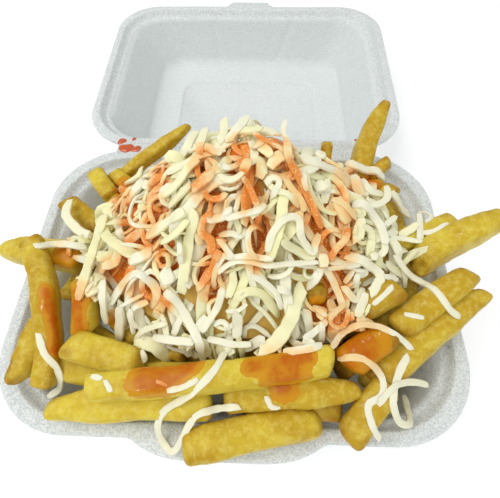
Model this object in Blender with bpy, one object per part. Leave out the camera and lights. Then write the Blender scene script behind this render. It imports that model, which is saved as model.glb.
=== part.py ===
"""Loaded fries in a hinged foam box that lies open: tray, lid, heap of fries, heap of grated cheese.

Metres, +Z up. The origin is the centre of the tray's underside. +Y points to the hinge and the lid.
Both halves of the box stand on z = 0, and their rims are level.
"""

import math
import random
from collections import namedtuple

import bmesh
import bpy
from mathutils import Vector, noise
from mathutils.bvhtree import BVHTree

MM = 0.001
CLEARANCE = 0.35 * MM

# The box: both halves are trays of moulded foam with a flat rim, a step, a ledge and slanted walls.
BOX_HEIGHT = 38.0 * MM
FOAM = 2.8 * MM
FOOT_HEIGHT = 1.2 * MM
RIM_THICKNESS = 2.9 * MM
RIM_ROUNDING = 0.6 * MM
STEP_DEPTH = 3.9 * MM
STEP_RUN = 1.7 * MM
LEDGE_WIDTH = 2.0 * MM
LEDGE_FALL = 0.4 * MM
FLOOR_FILLET = 2.6 * MM
KNEE = 0.92
WALL_SLANT = 1.1
FOOT_SPREAD = 0.6
FLOOR_EDGE = 1.5 * MM
CORNER_SHRINK = 0.45
CORNER_STEPS = 6

Tray = namedtuple("Tray", "width depth corner centre_y flange side_run end_run foot")
BASE = Tray(185.0 * MM, 133.5 * MM, 32.0 * MM, 0.0, 5.3 * MM, 16.0 * MM, 5.6 * MM,
            (50.0 * MM, 33.0 * MM, 12.0 * MM))
LID = Tray(173.5 * MM, 125.8 * MM, 26.0 * MM, 134.4 * MM, 4.5 * MM, 13.5 * MM, 3.6 * MM,
           (46.0 * MM, 29.5 * MM, 9.0 * MM))

# The hinge is a thin strip between the two rims, creased along X.
HINGE_Y = 69.25 * MM
HINGE_HALF_LENGTH = 66.5 * MM
HINGE_THICKNESS = 1.2 * MM
HINGE_LAP = 2.0 * MM
HINGE_AXIS = Vector((0.0, HINGE_Y, BOX_HEIGHT))

# The closure: a wide tongue on the tray's front rim, a small tab on the lid's far rim.
TONGUE_HALF_WIDTH = 35.4 * MM
TONGUE_REACH = 6.7 * MM
TAB_HALF_WIDTHS = (15.5 * MM, 12.2 * MM)
TAB_REACH = 4.9 * MM
TAB_LAP = 3.0 * MM
TAB_SHOULDER = (1.2 * MM, 0.7)
TONGUE_STEPS = 20
TONGUE_CURVE = 2.2
TONGUE_ROOT = 0.05 * MM
TOP_GAP = 0.02 * MM

# The heap: height falls from the top to the skirt, which is an ellipse round HEAP_CENTRE.
HEAP_CENTRE = Vector((4.0, 4.0)) * MM
HEAP_RADII = Vector((70.0, 49.0)) * MM
HEAP_TOP = 92.0 * MM
HEAP_SKIRT = 46.0 * MM
HEAP_SLOPE = 1.3
HEAP_LEAN = 22.0 * MM
HEAP_SIDES = 32
HEAP_RINGS = 5
LUMP_SIZE = 15.0 * MM
LUMP_HEIGHT = 1.6 * MM

# Under the cheese the heap of fries narrows to the tray's floor: share of the skirt and height.
CORE_WAIST = ((0.74, 4.4 * MM), (0.87, 20.0 * MM), (0.97, 36.0 * MM), (0.98, 42.0 * MM))
CHEESE_EDGE = 0.88
CHEESE_THICKNESS = (10.0 * MM, 2.0 * MM)
CHEESE_GAP = 0.6 * MM

# Loose fries round the back and the sides, where the heap is not seen from the front.
FRIES_SEED = 3
LOOSE_FRIES = 11
LOOSE_ARC = (-0.12 * math.pi, 1.02 * math.pi)
LOOSE_LENGTH = (36.0 * MM, 56.0 * MM)
LOOSE_WIDTH = (9.0 * MM, 12.0 * MM)
LOOSE_LEVEL = (37.5 * MM, 42.0 * MM)
LOOSE_SIDE_DROP = 7.0 * MM
LOOSE_LIMIT = Vector((72.0, 50.0)) * MM
LOOSE_SHARE = (0.99, 1.06)
LOOSE_TWIST = 0.5
LOOSE_TILT = 0.12
LOOSE_BOW = 1.5 * MM

# Grated cheese: strips of one cutter, laid along the heap by a rule, the longest first.
STRIP_WIDTH = 3.9 * MM
STRIP_THICKNESS = 2.9 * MM
CHEESE_SEED = 21
STRIPS = 27
STRIP_LENGTH = (46.0 * MM, 22.0 * MM)
STRIP_STEP = 5.2 * MM
STRIP_SINK = 0.6 * MM
STRIP_LAYER = 1.8 * MM
STRIP_SLOPE = 1.1
STRIP_TAPER = 0.75
STRIP_CORNERS = ((-1.0, -0.8), (1.0, -0.8), (0.85, 1.0), (-0.85, 1.0))
STRIP_REACH = 0.9
STRIP_CURL = 0.32
STRIP_WANDER = 0.25
TURN_SHARE = 0.92
TURN_ANGLE = 1.25
TURN_SHIFT = 4.0 * MM
LIFT = 0.3 * MM
LIFT_TRIES = 30
SPREAD = (0.569840, 0.754878)

# The fries that show, from end to end: (x, y, z) of both ends, width, height and sideways bow, in mm.
FRY_SIDES = 8
FRY_RINGS = 5
FRY_END = 0.06
FRY_END_SIZE = 0.72
FRY_SQUARENESS = 0.6
SHOWN_FRIES = {
    "tongue": ((-14, -69, 44.8), (33, -60, 44.8), 11.5, 11.5, -0.8),
    "front_left": ((-63, -59, 45.2), (-5, -54, 46.2), 12.5, 12.5, -1.0),
    "long_front": ((-45, -52, 55.5), (36, -41, 58.5), 9.5, 10.0, 1.0),
    "front_mid": ((-1, -52.5, 47.5), (46, -49, 50), 11.0, 11.0, 0.0),
    "front_stub": ((-1, -55, 47), (16, -46, 50), 8.5, 8.5, 0.0),
    "front_low": ((6, -55, 41), (40, -55, 41), 9.0, 9.0, 0.0),
    "front_under": ((-36, -47, 42), (12, -44, 42), 10.0, 10.0, 0.0),
    "right_front": ((41, -65, 45), (55, -48, 49), 10.5, 11.0, 0.0),
    "right_under": ((40, -42, 43), (68, -16, 44), 10.0, 10.0, 0.0),
    "brown": ((51, -46, 47), (65, -31, 48), 8.5, 9.0, 0.0),
    "left_upright": ((-78, 0, 61.5), (-68, -51, 43), 8.5, 9.0, -4.0),
    "left_poke": ((-97, 1, 52), (-60, -3, 50), 11.0, 11.0, 0.0),
    "left_crescent": ((-79, -51, 47), (-77, -26, 45), 9.0, 9.5, 3.0),
    "left_mid": ((-60, -36, 50), (-30, -44, 48), 11.5, 11.0, 0.0),
    "left_low": ((-66, -43, 41), (-44, -47, 40), 9.5, 9.5, 0.0),
    "left_under": ((-60, -30, 39), (-24, -46, 39), 10.0, 10.0, 0.0),
    "left_sauced": ((-55, -14, 58), (-55, -32, 47), 8.5, 9.0, 0.0),
    "right_top": ((104, 13, 62), (70, -4, 56.5), 10.5, 12.0, 1.0),
    "right_mid": ((91, -7, 56), (60, -29, 51.5), 10.5, 10.5, 0.0),
    "right_low": ((98, -13, 51), (51, -48, 46), 12.0, 12.5, 2.0),
    "right_back": ((86, 11, 52.5), (68, 3, 48), 9.5, 9.5, 0.0),
    "sauce_block": ((40, -42, 54), (57, -31, 54), 11.0, 11.0, 0.0),
    "back_right": ((68, 75, 64), (56, 43, 44.5), 9.0, 12.0, 2.0),
    "back_left": ((-23, 60.5, 62), (-56, 46, 44), 6.0, 6.5, 0.0),
    "left_back": ((-68, 43, 47), (-57, 29, 48), 8.0, 8.0, 0.0),
}

# The strips that show at the front, as plan points in mm. They lie on whatever is under them.
SHOWN_STRIPS = {
    "s_curve": ((3, -31), (-1, -38), (-4, -47), (-10, -53), (-20, -58), (-24, -64), (-19, -70), (-13, -66),
                (-11, -60), (-5, -57), (5, -56)),
    "white_left": ((-22, -13), (-19, -20), (-14, -28), (-9, -36)),
    "thick_yellow": ((27, -18), (21, -27), (17, -34), (12, -35)),
    "yellow_arch": ((0, -23), (6, -21), (11, -23), (14, -27)),
    "middle_bar": ((-3, -16), (5, -12), (21, -12), (30, -11)),
    "right_long": ((58, 4), (63, -1), (67, -8), (74, -15), (79, -22), (82, -25)),
    "right_arc": ((36, -25), (39, -32), (44, -30), (51, -29), (60, -31), (64, -36)),
    "right_front": ((32, -25), (37, -36), (45, -42), (52, -46), (51, -51), (47, -55), (47, -60), (53, -64)),
    "cross": ((50, -54), (57, -48), (66, -45), (74, -43)),
    "loop": ((62, -36), (58, -45), (56, -53), (62, -58), (66, -57), (67, -50)),
    "left_bar": ((-74, -4), (-66, 0), (-57, 3), (-50, 4)),
    "yellow_long": ((-52, 22), (-51, 8), (-48, -8), (-50, -22)),
    "diagonal": ((-24, 9), (-39, 4), (-48, -2)),
    "yellow_drop": ((-12, 4), (-14, -6), (-15, -14)),
}


def unit_cos(value):
    """Cosine of the value taken as a share of a quarter turn."""
    return math.cos(value * math.pi / 2)


def outline(half_x, half_y, radius, centre_y):
    """Corners of a rounded rectangle, anticlockwise seen from above, each corner an arc of points."""
    points = []
    for quarter, (sx, sy) in enumerate(((1, 1), (-1, 1), (-1, -1), (1, -1))):
        for step in range(CORNER_STEPS + 1):
            angle = (quarter + step / CORNER_STEPS) * math.pi / 2
            points.append(Vector((sx * (half_x - radius) + radius * math.cos(angle),
                                  centre_y + sy * (half_y - radius) + radius * math.sin(angle))))
    return points


def new_object(name, mesh, material=None):
    """Links an object with the mesh to the scene."""
    piece = bpy.data.objects.new(name, mesh)
    bpy.context.scene.collection.objects.link(piece)
    if material:
        mesh.materials.append(material)
    return piece


def mesh_from(bm, name):
    """Turns a bmesh into a mesh with its faces pointing out."""
    bmesh.ops.recalc_face_normals(bm, faces=bm.faces)
    mesh = bpy.data.meshes.new(name)
    bm.to_mesh(mesh)
    bm.free()
    return mesh


def loft(rings, name, split=False):
    """A closed mesh through rings of equal point counts, capped at both ends, in quads or all split alike."""
    bm = bmesh.new()
    loops = [[bm.verts.new(point) for point in ring] for ring in rings]
    for low, high in zip(loops, loops[1:]):
        for i in range(len(low)):
            j = (i + 1) % len(low)
            if split:
                bm.faces.new((low[i], low[j], high[j]))
                bm.faces.new((low[i], high[j], high[i]))
            else:
                bm.faces.new((low[i], low[j], high[j], high[i]))
    caps = [bm.faces.new(loops[0][::-1]), bm.faces.new(loops[-1])]
    if split:
        bmesh.ops.poke(bm, faces=caps)
    return mesh_from(bm, name)


def plate(points, low, high, name):
    """An outline extruded from one height to another."""
    return loft([[Vector((x, y, z)) for x, y in points] for z in (low, high)], name)


def shade(piece, angle=40.0):
    """Smooth shading with the sharp folds kept."""
    piece.data.shade_smooth()
    piece.data.set_sharp_from_angle(angle=math.radians(angle))


def apply_union(target, parts, solver="EXACT"):
    """Fuses the parts into the target with one Boolean on a collection, and removes them."""
    group = bpy.data.collections.new(target.name + "_parts")
    bpy.context.scene.collection.children.link(group)
    for part in parts:
        bpy.context.scene.collection.objects.unlink(part)
        group.objects.link(part)
    fuse = target.modifiers.new("fuse", "BOOLEAN")
    fuse.operation = "UNION"
    fuse.operand_type = "COLLECTION"
    fuse.collection = group
    fuse.solver = solver
    graph = bpy.context.evaluated_depsgraph_get()
    fused = bpy.data.meshes.new_from_object(target.evaluated_get(graph))
    target.modifiers.clear()
    target.data = fused
    for part in parts:
        bpy.data.objects.remove(part)
    bpy.data.collections.remove(group)


def material(name, colour, roughness):
    """A plain non-metal surface."""
    made = bpy.data.materials.new(name)
    made.use_nodes = True
    shader = made.node_tree.nodes["Principled BSDF"]
    shader.inputs["Base Color"].default_value = (*colour, 1.0)
    shader.inputs["Roughness"].default_value = roughness
    shader.inputs["Metallic"].default_value = 0.0
    return made


def tray_wall(tray, share):
    """Half width and half depth of the inner wall, from the ledge (0) down to the floor (1)."""
    inset = tray.flange + STEP_RUN + LEDGE_WIDTH
    return (tray.width / 2 - inset - tray.side_run * share,
            tray.depth / 2 - inset - tray.end_run * share)


def tray_mesh(tray, name):
    """The moulded shell, lofted from the foot up the outside, over the rim and down to the floor."""
    def ring(half_x, half_y, z):
        inset = tray.width / 2 - half_x
        radius = tray.corner - CORNER_SHRINK * inset
        return [Vector((x, y, z)) for x, y in outline(half_x, half_y, radius, tray.centre_y)]

    def rim(inset, z):
        return ring(tray.width / 2 - inset, tray.depth / 2 - inset, z)

    def foot(grow, z):
        half_x, half_y, radius = (size + grow for size in tray.foot)
        return [Vector((x, y, z)) for x, y in outline(half_x, half_y, radius, tray.centre_y)]

    rim_top = BOX_HEIGHT
    rim_low = BOX_HEIGHT - RIM_THICKNESS
    ledge_z = BOX_HEIGHT - STEP_DEPTH
    floor_z = FOOT_HEIGHT + FOAM
    ledge = tray_wall(tray, 0.0)
    knee = tray_wall(tray, KNEE)
    floor = tray_wall(tray, 1.0)
    bevel = FOOT_HEIGHT
    rings = [
        foot(0.0, 0.0),
        foot(bevel, FOOT_HEIGHT),
        ring(floor[0] + FOOT_SPREAD * FOAM, floor[1] + FOOT_SPREAD * FOAM, FOOT_HEIGHT),
        ring(knee[0] + WALL_SLANT * FOAM, knee[1] + FOAM, FOOT_HEIGHT + FLOOR_FILLET),
        ring(ledge[0] + WALL_SLANT * FOAM, ledge[1] + FOAM, rim_low - RIM_ROUNDING),
        rim(RIM_ROUNDING, rim_low),
        rim(0.0, rim_low + RIM_ROUNDING),
        rim(0.0, rim_top - RIM_ROUNDING),
        rim(RIM_ROUNDING, rim_top),
        rim(tray.flange - RIM_ROUNDING, rim_top),
        rim(tray.flange, rim_top - RIM_ROUNDING),
        ring(ledge[0] + LEDGE_WIDTH, ledge[1] + LEDGE_WIDTH, ledge_z),
        ring(*ledge, ledge_z - LEDGE_FALL),
        ring(*knee, floor_z + FLOOR_FILLET),
        ring(floor[0] - FLOOR_EDGE, floor[1] - FLOOR_EDGE, floor_z),
        foot(bevel, floor_z),
        foot(0.0, FOAM),
    ]
    return loft(rings, name)


def hinge_half(near_y, far_y):
    """One half of the hinge strip, on one side of the crease."""
    corners = [(-HINGE_HALF_LENGTH, near_y), (HINGE_HALF_LENGTH, near_y),
               (HINGE_HALF_LENGTH, far_y), (-HINGE_HALF_LENGTH, far_y)]
    mesh = plate(corners, BOX_HEIGHT - HINGE_THICKNESS, BOX_HEIGHT - TOP_GAP, "hinge_half")
    return new_object("hinge_half", mesh)


def closure_tongue():
    """The front rim's wide tongue: a flat bulge with softly rounded shoulders."""
    edge = -BASE.depth / 2
    points = [(TONGUE_HALF_WIDTH, edge + TAB_LAP), (-TONGUE_HALF_WIDTH, edge + TAB_LAP)]
    for step in range(TONGUE_STEPS + 1):
        share = 2 * step / TONGUE_STEPS - 1
        reach = TONGUE_REACH * unit_cos(abs(share) ** TONGUE_CURVE)
        points.append((share * TONGUE_HALF_WIDTH, edge - reach - TONGUE_ROOT))
    mesh = plate(points, BOX_HEIGHT - RIM_THICKNESS, BOX_HEIGHT - TOP_GAP, "tongue")
    return new_object("tongue", mesh)


def closure_tab():
    """The far rim's small tab, narrower at its tip."""
    edge = LID.centre_y + LID.depth / 2
    wide, narrow = TAB_HALF_WIDTHS
    shoulder = narrow + TAB_SHOULDER[0]
    shoulder_y = edge + TAB_SHOULDER[1] * TAB_REACH
    points = [(-wide, edge - TAB_LAP), (wide, edge - TAB_LAP), (wide, edge),
              (shoulder, shoulder_y), (narrow, edge + TAB_REACH),
              (-narrow, edge + TAB_REACH), (-shoulder, shoulder_y), (-wide, edge)]
    mesh = plate(points, BOX_HEIGHT - RIM_THICKNESS, BOX_HEIGHT - TOP_GAP, "tab")
    return new_object("tab", mesh)


def build_box(foam):
    """The tray at its place, and the lid hung on an empty at the crease."""
    base = new_object("box_base", tray_mesh(BASE, "box_base"), foam)
    strip_start = BASE.depth / 2 - HINGE_LAP
    apply_union(base, [closure_tongue(), hinge_half(strip_start, HINGE_Y - CLEARANCE / 2)])
    lid = new_object("box_lid", tray_mesh(LID, "box_lid"), foam)
    strip_end = LID.centre_y - LID.depth / 2 + HINGE_LAP
    apply_union(lid, [closure_tab(), hinge_half(HINGE_Y + CLEARANCE / 2, strip_end)])
    for piece in (base, lid):
        shade(piece)
    hinge = bpy.data.objects.new("lid_hinge", None)
    hinge.location = HINGE_AXIS
    bpy.context.scene.collection.objects.link(hinge)
    for vertex in lid.data.vertices:
        vertex.co -= HINGE_AXIS
    lid.parent = hinge
    return base, lid


def fry_mesh(start, end, width, height, bow, name):
    """A cut potato stick: a soft-cornered square section along a bowed line, narrower at its ends."""
    along = (end - start).normalized()
    side = along.cross(Vector((0, 0, 1))).normalized()
    up = side.cross(along)
    rings = []
    body = [FRY_END + (1 - 2 * FRY_END) * i / (FRY_RINGS - 1) for i in range(FRY_RINGS)]
    stations = [0.0, *body, 1.0]
    for station in stations:
        centre = start.lerp(end, station) + side * bow * 4 * station * (1 - station)
        size = FRY_END_SIZE if station in (0.0, 1.0) else 1.0
        ring = []
        for i in range(FRY_SIDES):
            angle = (i + 0.5) * 2 * math.pi / FRY_SIDES
            stretch = 1.0 / max(abs(math.cos(angle)), abs(math.sin(angle))) ** FRY_SQUARENESS
            ring.append(centre + side * math.cos(angle) * stretch * size * width / 2
                        + up * math.sin(angle) * stretch * size * height / 2)
        rings.append(ring)
    return loft(rings, name)


def heap_point(rho, angle, height):
    """A point of the heap at a share of the skirt's radius, leaning back as it rises."""
    y_centre = HEAP_CENTRE.y + HEAP_LEAN * (1 - rho)
    return Vector((HEAP_CENTRE.x + HEAP_RADII.x * rho * math.cos(angle),
                   y_centre + HEAP_RADII.y * rho * math.sin(angle), height))


def cheese_top(rho):
    """Height of the bare cheese mound at a share of the skirt's radius."""
    return HEAP_SKIRT + (HEAP_TOP - HEAP_SKIRT) * (1 - rho ** HEAP_SLOPE)


def fries_top(rho):
    """Height of the fries under the cheese, which thins towards its edge."""
    middle, edge = CHEESE_THICKNESS
    share = min(1.0, (rho / CHEESE_EDGE) ** 2)
    return cheese_top(rho) - middle * (1 - share) - edge * share


def lump(point):
    """Unevenness of a heap's surface."""
    return LUMP_HEIGHT * noise.noise(point / LUMP_SIZE)


def heap_ring(rho, height_at, lift=0.0):
    """One ring of a heap's surface, with its lumps."""
    ring = []
    for i in range(HEAP_SIDES):
        point = heap_point(rho, 2 * math.pi * i / HEAP_SIDES, height_at(rho))
        point.z += lump(point) + lift
        ring.append(point)
    return ring


def ring_shares():
    """Shares of the skirt's radius at which the cheese and the fries under it have their rings."""
    return [CHEESE_EDGE * (HEAP_RINGS - i) / HEAP_RINGS for i in range(HEAP_RINGS)]


def fries_core():
    """The bulk of the fries: it stands on the tray's floor, widens, then rises under the cheese."""
    rings = []
    for rho, z in CORE_WAIST:
        rings.append([heap_point(rho, 2 * math.pi * i / HEAP_SIDES, z) for i in range(HEAP_SIDES)])
    for rho in ring_shares():
        rings.append(heap_ring(rho, fries_top))
    return loft(rings, "fries_core", split=True)


def cheese_core():
    """The cheese as one mound, its underside parallel to the fries it lies on."""
    shares = ring_shares()
    rings = [heap_ring(rho, cheese_top) for rho in reversed(shares)]
    rings += [heap_ring(rho, fries_top, CHEESE_GAP) for rho in shares]
    return loft(rings, "cheese_core", split=True)


def shown_fry(name):
    """One of the fries listed above, as its own object."""
    start, end, width, height, bow = SHOWN_FRIES[name]
    mesh = fry_mesh(Vector(start) * MM, Vector(end) * MM, width * MM, height * MM, bow * MM, name)
    return new_object("fry_" + name, mesh)


def loose_fry(index, draw):
    """A fry that lies along the heap's skirt, on its hidden sides."""
    share = (index + 0.5) / LOOSE_FRIES
    angle = LOOSE_ARC[0] + (LOOSE_ARC[1] - LOOSE_ARC[0]) * share
    level = draw.uniform(*LOOSE_LEVEL) - LOOSE_SIDE_DROP * abs(math.cos(angle))
    middle = heap_point(draw.uniform(*LOOSE_SHARE), angle, level)
    tangent = heap_point(1.0, angle + 0.05, 0.0) - heap_point(1.0, angle - 0.05, 0.0)
    heading = math.atan2(tangent.y, tangent.x) + draw.uniform(-LOOSE_TWIST, LOOSE_TWIST)
    half = draw.uniform(*LOOSE_LENGTH) / 2
    reach = Vector((math.cos(heading), math.sin(heading), draw.uniform(-LOOSE_TILT, LOOSE_TILT))) * half
    width = draw.uniform(*LOOSE_WIDTH)
    ends = []
    for end in (middle - reach, middle + reach):
        end.x = max(-LOOSE_LIMIT.x, min(LOOSE_LIMIT.x, end.x))
        end.y = max(-LOOSE_LIMIT.y, min(LOOSE_LIMIT.y, end.y))
        ends.append(end)
    mesh = fry_mesh(*ends, width, width, draw.uniform(-LOOSE_BOW, LOOSE_BOW), "loose")
    return new_object("fry_loose", mesh)


def keep_main_body(piece):
    """Fills the hollows that fusing has sealed, and drops loose scraps: only the largest shell stays."""
    bm = bmesh.new()
    bm.from_mesh(piece.data)
    shells, seen = [], set()
    for first in bm.faces:
        if first in seen:
            continue
        shell, waiting = [], [first]
        seen.add(first)
        while waiting:
            face = waiting.pop()
            shell.append(face)
            for other in (near for edge in face.edges for near in edge.link_faces):
                if other not in seen:
                    seen.add(other)
                    waiting.append(other)
        shells.append(shell)
    shells.sort(key=len)
    scraps = [face for shell in shells[:-1] for face in shell]
    bmesh.ops.delete(bm, geom=scraps, context="FACES")
    bm.to_mesh(piece.data)
    bm.free()


def build_fries(golden):
    """The core with every fry that shows fused on."""
    draw = random.Random(FRIES_SEED)
    fries = new_object("fries", fries_core(), golden)
    parts = [shown_fry(name) for name in SHOWN_FRIES]
    parts += [loose_fry(index, draw) for index in range(LOOSE_FRIES)]
    apply_union(fries, parts, "MANIFOLD")
    keep_main_body(fries)
    shade(fries, 50.0)
    return fries


def surface_tree(pieces):
    """A search tree over the pieces' faces, in world space."""
    points, faces = [], []
    for piece in pieces:
        start = len(points)
        points += [piece.matrix_world @ vertex.co for vertex in piece.data.vertices]
        faces += [[start + i for i in face.vertices] for face in piece.data.polygons]
    return BVHTree.FromPolygons(points, faces)


class Ground:
    """What a strip of cheese lies on: it sinks a little into its own mound and stays clear of the rest."""

    def __init__(self, cheese, others):
        self.cheese = surface_tree([cheese])
        self.others = surface_tree(others)

    def top(self, tree, x, y):
        """Height of a tree's uppermost face at one place."""
        hit = tree.ray_cast(Vector((x, y, 2 * HEAP_TOP)), Vector((0, 0, -1)))[0]
        return hit.z if hit else 0.0

    def height(self, x, y):
        """Lowest height of a strip's centreline over this place."""
        clear = self.top(self.others, x, y) + CLEARANCE + STRIP_THICKNESS / 2
        own = self.top(self.cheese, x, y) + STRIP_THICKNESS / 2 - STRIP_SINK
        return max(clear, own)

    def struck(self, rings):
        """The places along a strip where it touches something else than its mound."""
        points = [point for ring in rings for point in ring]
        sides = len(rings[0])
        faces = []
        for start in range(0, len(points) - sides, sides):
            for i in range(sides):
                j = (i + 1) % sides
                faces.append((start + i, start + j, start + sides + j, start + sides + i))
        touching = BVHTree.FromPolygons(points, faces).overlap(self.others)
        return {face // sides for face, _ in touching}


def strip_rings(plan, heights, grow=0.0):
    """Four-cornered sections along a strip, a little narrower at both ends."""
    line = [Vector((x, y, z)) for (x, y), z in zip(plan, heights)]
    last = len(line) - 1
    rings = []
    for i, centre in enumerate(line):
        along = (line[min(i + 1, last)] - line[max(i - 1, 0)]).normalized()
        side = along.cross(Vector((0, 0, 1))).normalized()
        up = side.cross(along).normalized()
        width = STRIP_WIDTH / 2 * (STRIP_TAPER if i in (0, last) else 1.0) + grow
        half = STRIP_THICKNESS / 2 + grow
        rings.append([centre + side * width * a + up * half * b for a, b in STRIP_CORNERS])
    return rings


def eased(plan, heights):
    """Heights raised where the strip would otherwise drop too steeply."""
    heights = list(heights)
    last = len(plan) - 1
    forward = [(i, i - 1) for i in range(1, last + 1)]
    backward = [(i, i + 1) for i in range(last - 1, -1, -1)]
    for here, near in forward + backward:
        run = math.dist(plan[here], plan[near])
        heights[here] = max(heights[here], heights[near] - STRIP_SLOPE * run)
    return heights


def lay_strip(ground, plan, name, layer=0.0):
    """A strip along the plan points: it lies on the ground, and is lifted wherever it would touch."""
    last = len(plan) - 1
    heights = [ground.height(x, y) + layer * math.sin(math.pi * i / last) for i, (x, y) in enumerate(plan)]
    heights = eased(plan, heights)
    for _ in range(LIFT_TRIES):
        struck = ground.struck(strip_rings(plan, heights, CLEARANCE))
        if not struck:
            break
        for i in struck:
            heights[i] += LIFT
            heights[i + 1] += LIFT
        heights = eased(plan, heights)
    return new_object(name, loft(strip_rings(plan, heights), name))


def smooth_plan(points):
    """Plan points on a smooth curve through the given ones, a step apart."""
    points = [Vector(point) * MM for point in points]
    ends = [2 * points[0] - points[1]] + points + [2 * points[-1] - points[-2]]
    plan = [tuple(points[0])]
    for a, b, c, d in zip(ends, ends[1:], ends[2:], ends[3:]):
        parts = max(1, round((c - b).length / STRIP_STEP))
        for i in range(1, parts + 1):
            t = i / parts
            spot = 0.5 * (2 * b + (c - a) * t + (2 * a - 5 * b + 4 * c - d) * t ** 2
                          + (3 * b - a - 3 * c + d) * t ** 3)
            plan.append(tuple(spot))
    return plan


def drawn_plan(index, draw):
    """The plan of one strip: an even spiral sets its place, its heading and its curl are drawn."""
    share = (index + 0.5) / STRIPS
    length = STRIP_LENGTH[0] + (STRIP_LENGTH[1] - STRIP_LENGTH[0]) * share
    rho = STRIP_REACH * math.sqrt((index * SPREAD[0]) % 1.0)
    start = heap_point(rho, 2 * math.pi * index * SPREAD[1], 0.0)
    heading = draw.uniform(0, 2 * math.pi)
    curl = draw.uniform(-STRIP_CURL, STRIP_CURL)
    steps = max(4, round(length / STRIP_STEP))
    x, y = start.x, start.y
    plan = []
    for step in range(steps + 1):
        plan.append((x, y))
        inward = math.atan2(HEAP_CENTRE.y + HEAP_LEAN / 2 - y, HEAP_CENTRE.x - x)
        if plan_share(x, y) > TURN_SHARE:
            heading = inward + math.copysign(TURN_ANGLE, math.sin(heading - inward))
        heading += curl + draw.uniform(-STRIP_WANDER, STRIP_WANDER)
        x += STRIP_STEP * math.cos(heading)
        y += STRIP_STEP * math.sin(heading)
    return plan


def plan_share(x, y):
    """How far out a place is, as a share of the skirt's radius."""
    across = (x - HEAP_CENTRE.x) / HEAP_RADII.x
    along = (y - HEAP_CENTRE.y - TURN_SHIFT) / HEAP_RADII.y
    return math.hypot(across, along)


def build_cheese(pale, base, fries):
    """The mound with its strips fused on, clear of the fries and the tray."""
    draw = random.Random(CHEESE_SEED)
    cheese = new_object("cheese", cheese_core(), pale)
    ground = Ground(cheese, [base, fries])
    parts = [lay_strip(ground, smooth_plan(points), name) for name, points in SHOWN_STRIPS.items()]
    for index in range(STRIPS):
        plan = drawn_plan(index, draw)
        parts.append(lay_strip(ground, plan, "strip", draw.uniform(0, STRIP_LAYER)))
    apply_union(cheese, parts, "MANIFOLD")
    keep_main_body(cheese)
    shade(cheese, 40.0)
    return cheese


def build():
    for old in list(bpy.data.objects):
        bpy.data.objects.remove(old)
    foam = material("white_foam", (0.80, 0.82, 0.82), 0.5)
    golden = material("golden_fries", (0.65, 0.44, 0.08), 0.45)
    pale = material("grated_cheese", (0.80, 0.72, 0.46), 0.4)
    base, lid = build_box(foam)
    fries = build_fries(golden)
    build_cheese(pale, base, fries)


build()
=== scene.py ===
# %% [markdown]
# # Loaded fries in an open foam box
# A small foam takeaway box lies open. Its tray holds a tall heap of thick-cut fries under grated
# cheese, with hot sauce drizzled over it. The frame gives the true places; this script adds looks.

# %% The frame
import math
import random

import bpy
import numpy as np
from mathutils import Matrix, Vector, noise
from mathutils.bvhtree import BVHTree


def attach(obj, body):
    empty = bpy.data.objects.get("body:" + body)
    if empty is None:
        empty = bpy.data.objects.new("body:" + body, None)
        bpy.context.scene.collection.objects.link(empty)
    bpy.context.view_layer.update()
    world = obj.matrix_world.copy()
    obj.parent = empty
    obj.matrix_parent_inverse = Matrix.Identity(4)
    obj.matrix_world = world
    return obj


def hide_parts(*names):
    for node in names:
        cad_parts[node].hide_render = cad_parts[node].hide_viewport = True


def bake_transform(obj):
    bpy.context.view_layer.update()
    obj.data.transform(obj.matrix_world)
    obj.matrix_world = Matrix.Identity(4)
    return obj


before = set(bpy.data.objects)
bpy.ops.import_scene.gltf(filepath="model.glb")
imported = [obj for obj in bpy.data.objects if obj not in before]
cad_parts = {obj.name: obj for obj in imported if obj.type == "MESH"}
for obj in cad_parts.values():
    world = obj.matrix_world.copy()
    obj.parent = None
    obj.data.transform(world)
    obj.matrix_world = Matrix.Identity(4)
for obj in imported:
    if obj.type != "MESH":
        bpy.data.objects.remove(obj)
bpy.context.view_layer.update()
MM = 0.001
# Without a seed of its own, the vector noise would differ from one run to the next.
NOISE_SEED = 4
noise.seed_set(NOISE_SEED)

# %% [markdown]
# ## The camera
# The view was worked out from the two rims, which are known rectangles: a phone held low over the
# tray, looking steeply down at it. The camera is built from its three vectors, because a matrix says
# exactly where it looks, while Euler angles would need converting.

# %% Camera
IMAGE_WIDTH = 500
IMAGE_HEIGHT = 498
FOCAL_PIXELS = 350.0
SENSOR_WIDTH = 36.0
CAMERA_PLACE = Vector((10.0246, -60.6517, 179.6302)) * MM
CAMERA_YAW = 0.057447
CAMERA_PITCH = 1.108411
CAMERA_ROLL = -0.029251


def camera_axes():
    """The camera's right, up and forward vectors."""
    forward = Vector((-math.sin(CAMERA_YAW) * math.cos(CAMERA_PITCH),
                      math.cos(CAMERA_YAW) * math.cos(CAMERA_PITCH), -math.sin(CAMERA_PITCH)))
    level = Vector((math.cos(CAMERA_YAW), math.sin(CAMERA_YAW), 0.0))
    above = level.cross(forward)
    right = math.cos(CAMERA_ROLL) * level + math.sin(CAMERA_ROLL) * above
    return right, right.cross(forward), forward


RIGHT, UP, FORWARD = camera_axes()


def pixel_ray(px, py):
    """The direction from the camera through a pixel of the photograph."""
    ray = FORWARD + RIGHT * (px - IMAGE_WIDTH / 2) / FOCAL_PIXELS
    return (ray + UP * (IMAGE_HEIGHT / 2 - py) / FOCAL_PIXELS).normalized()


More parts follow.
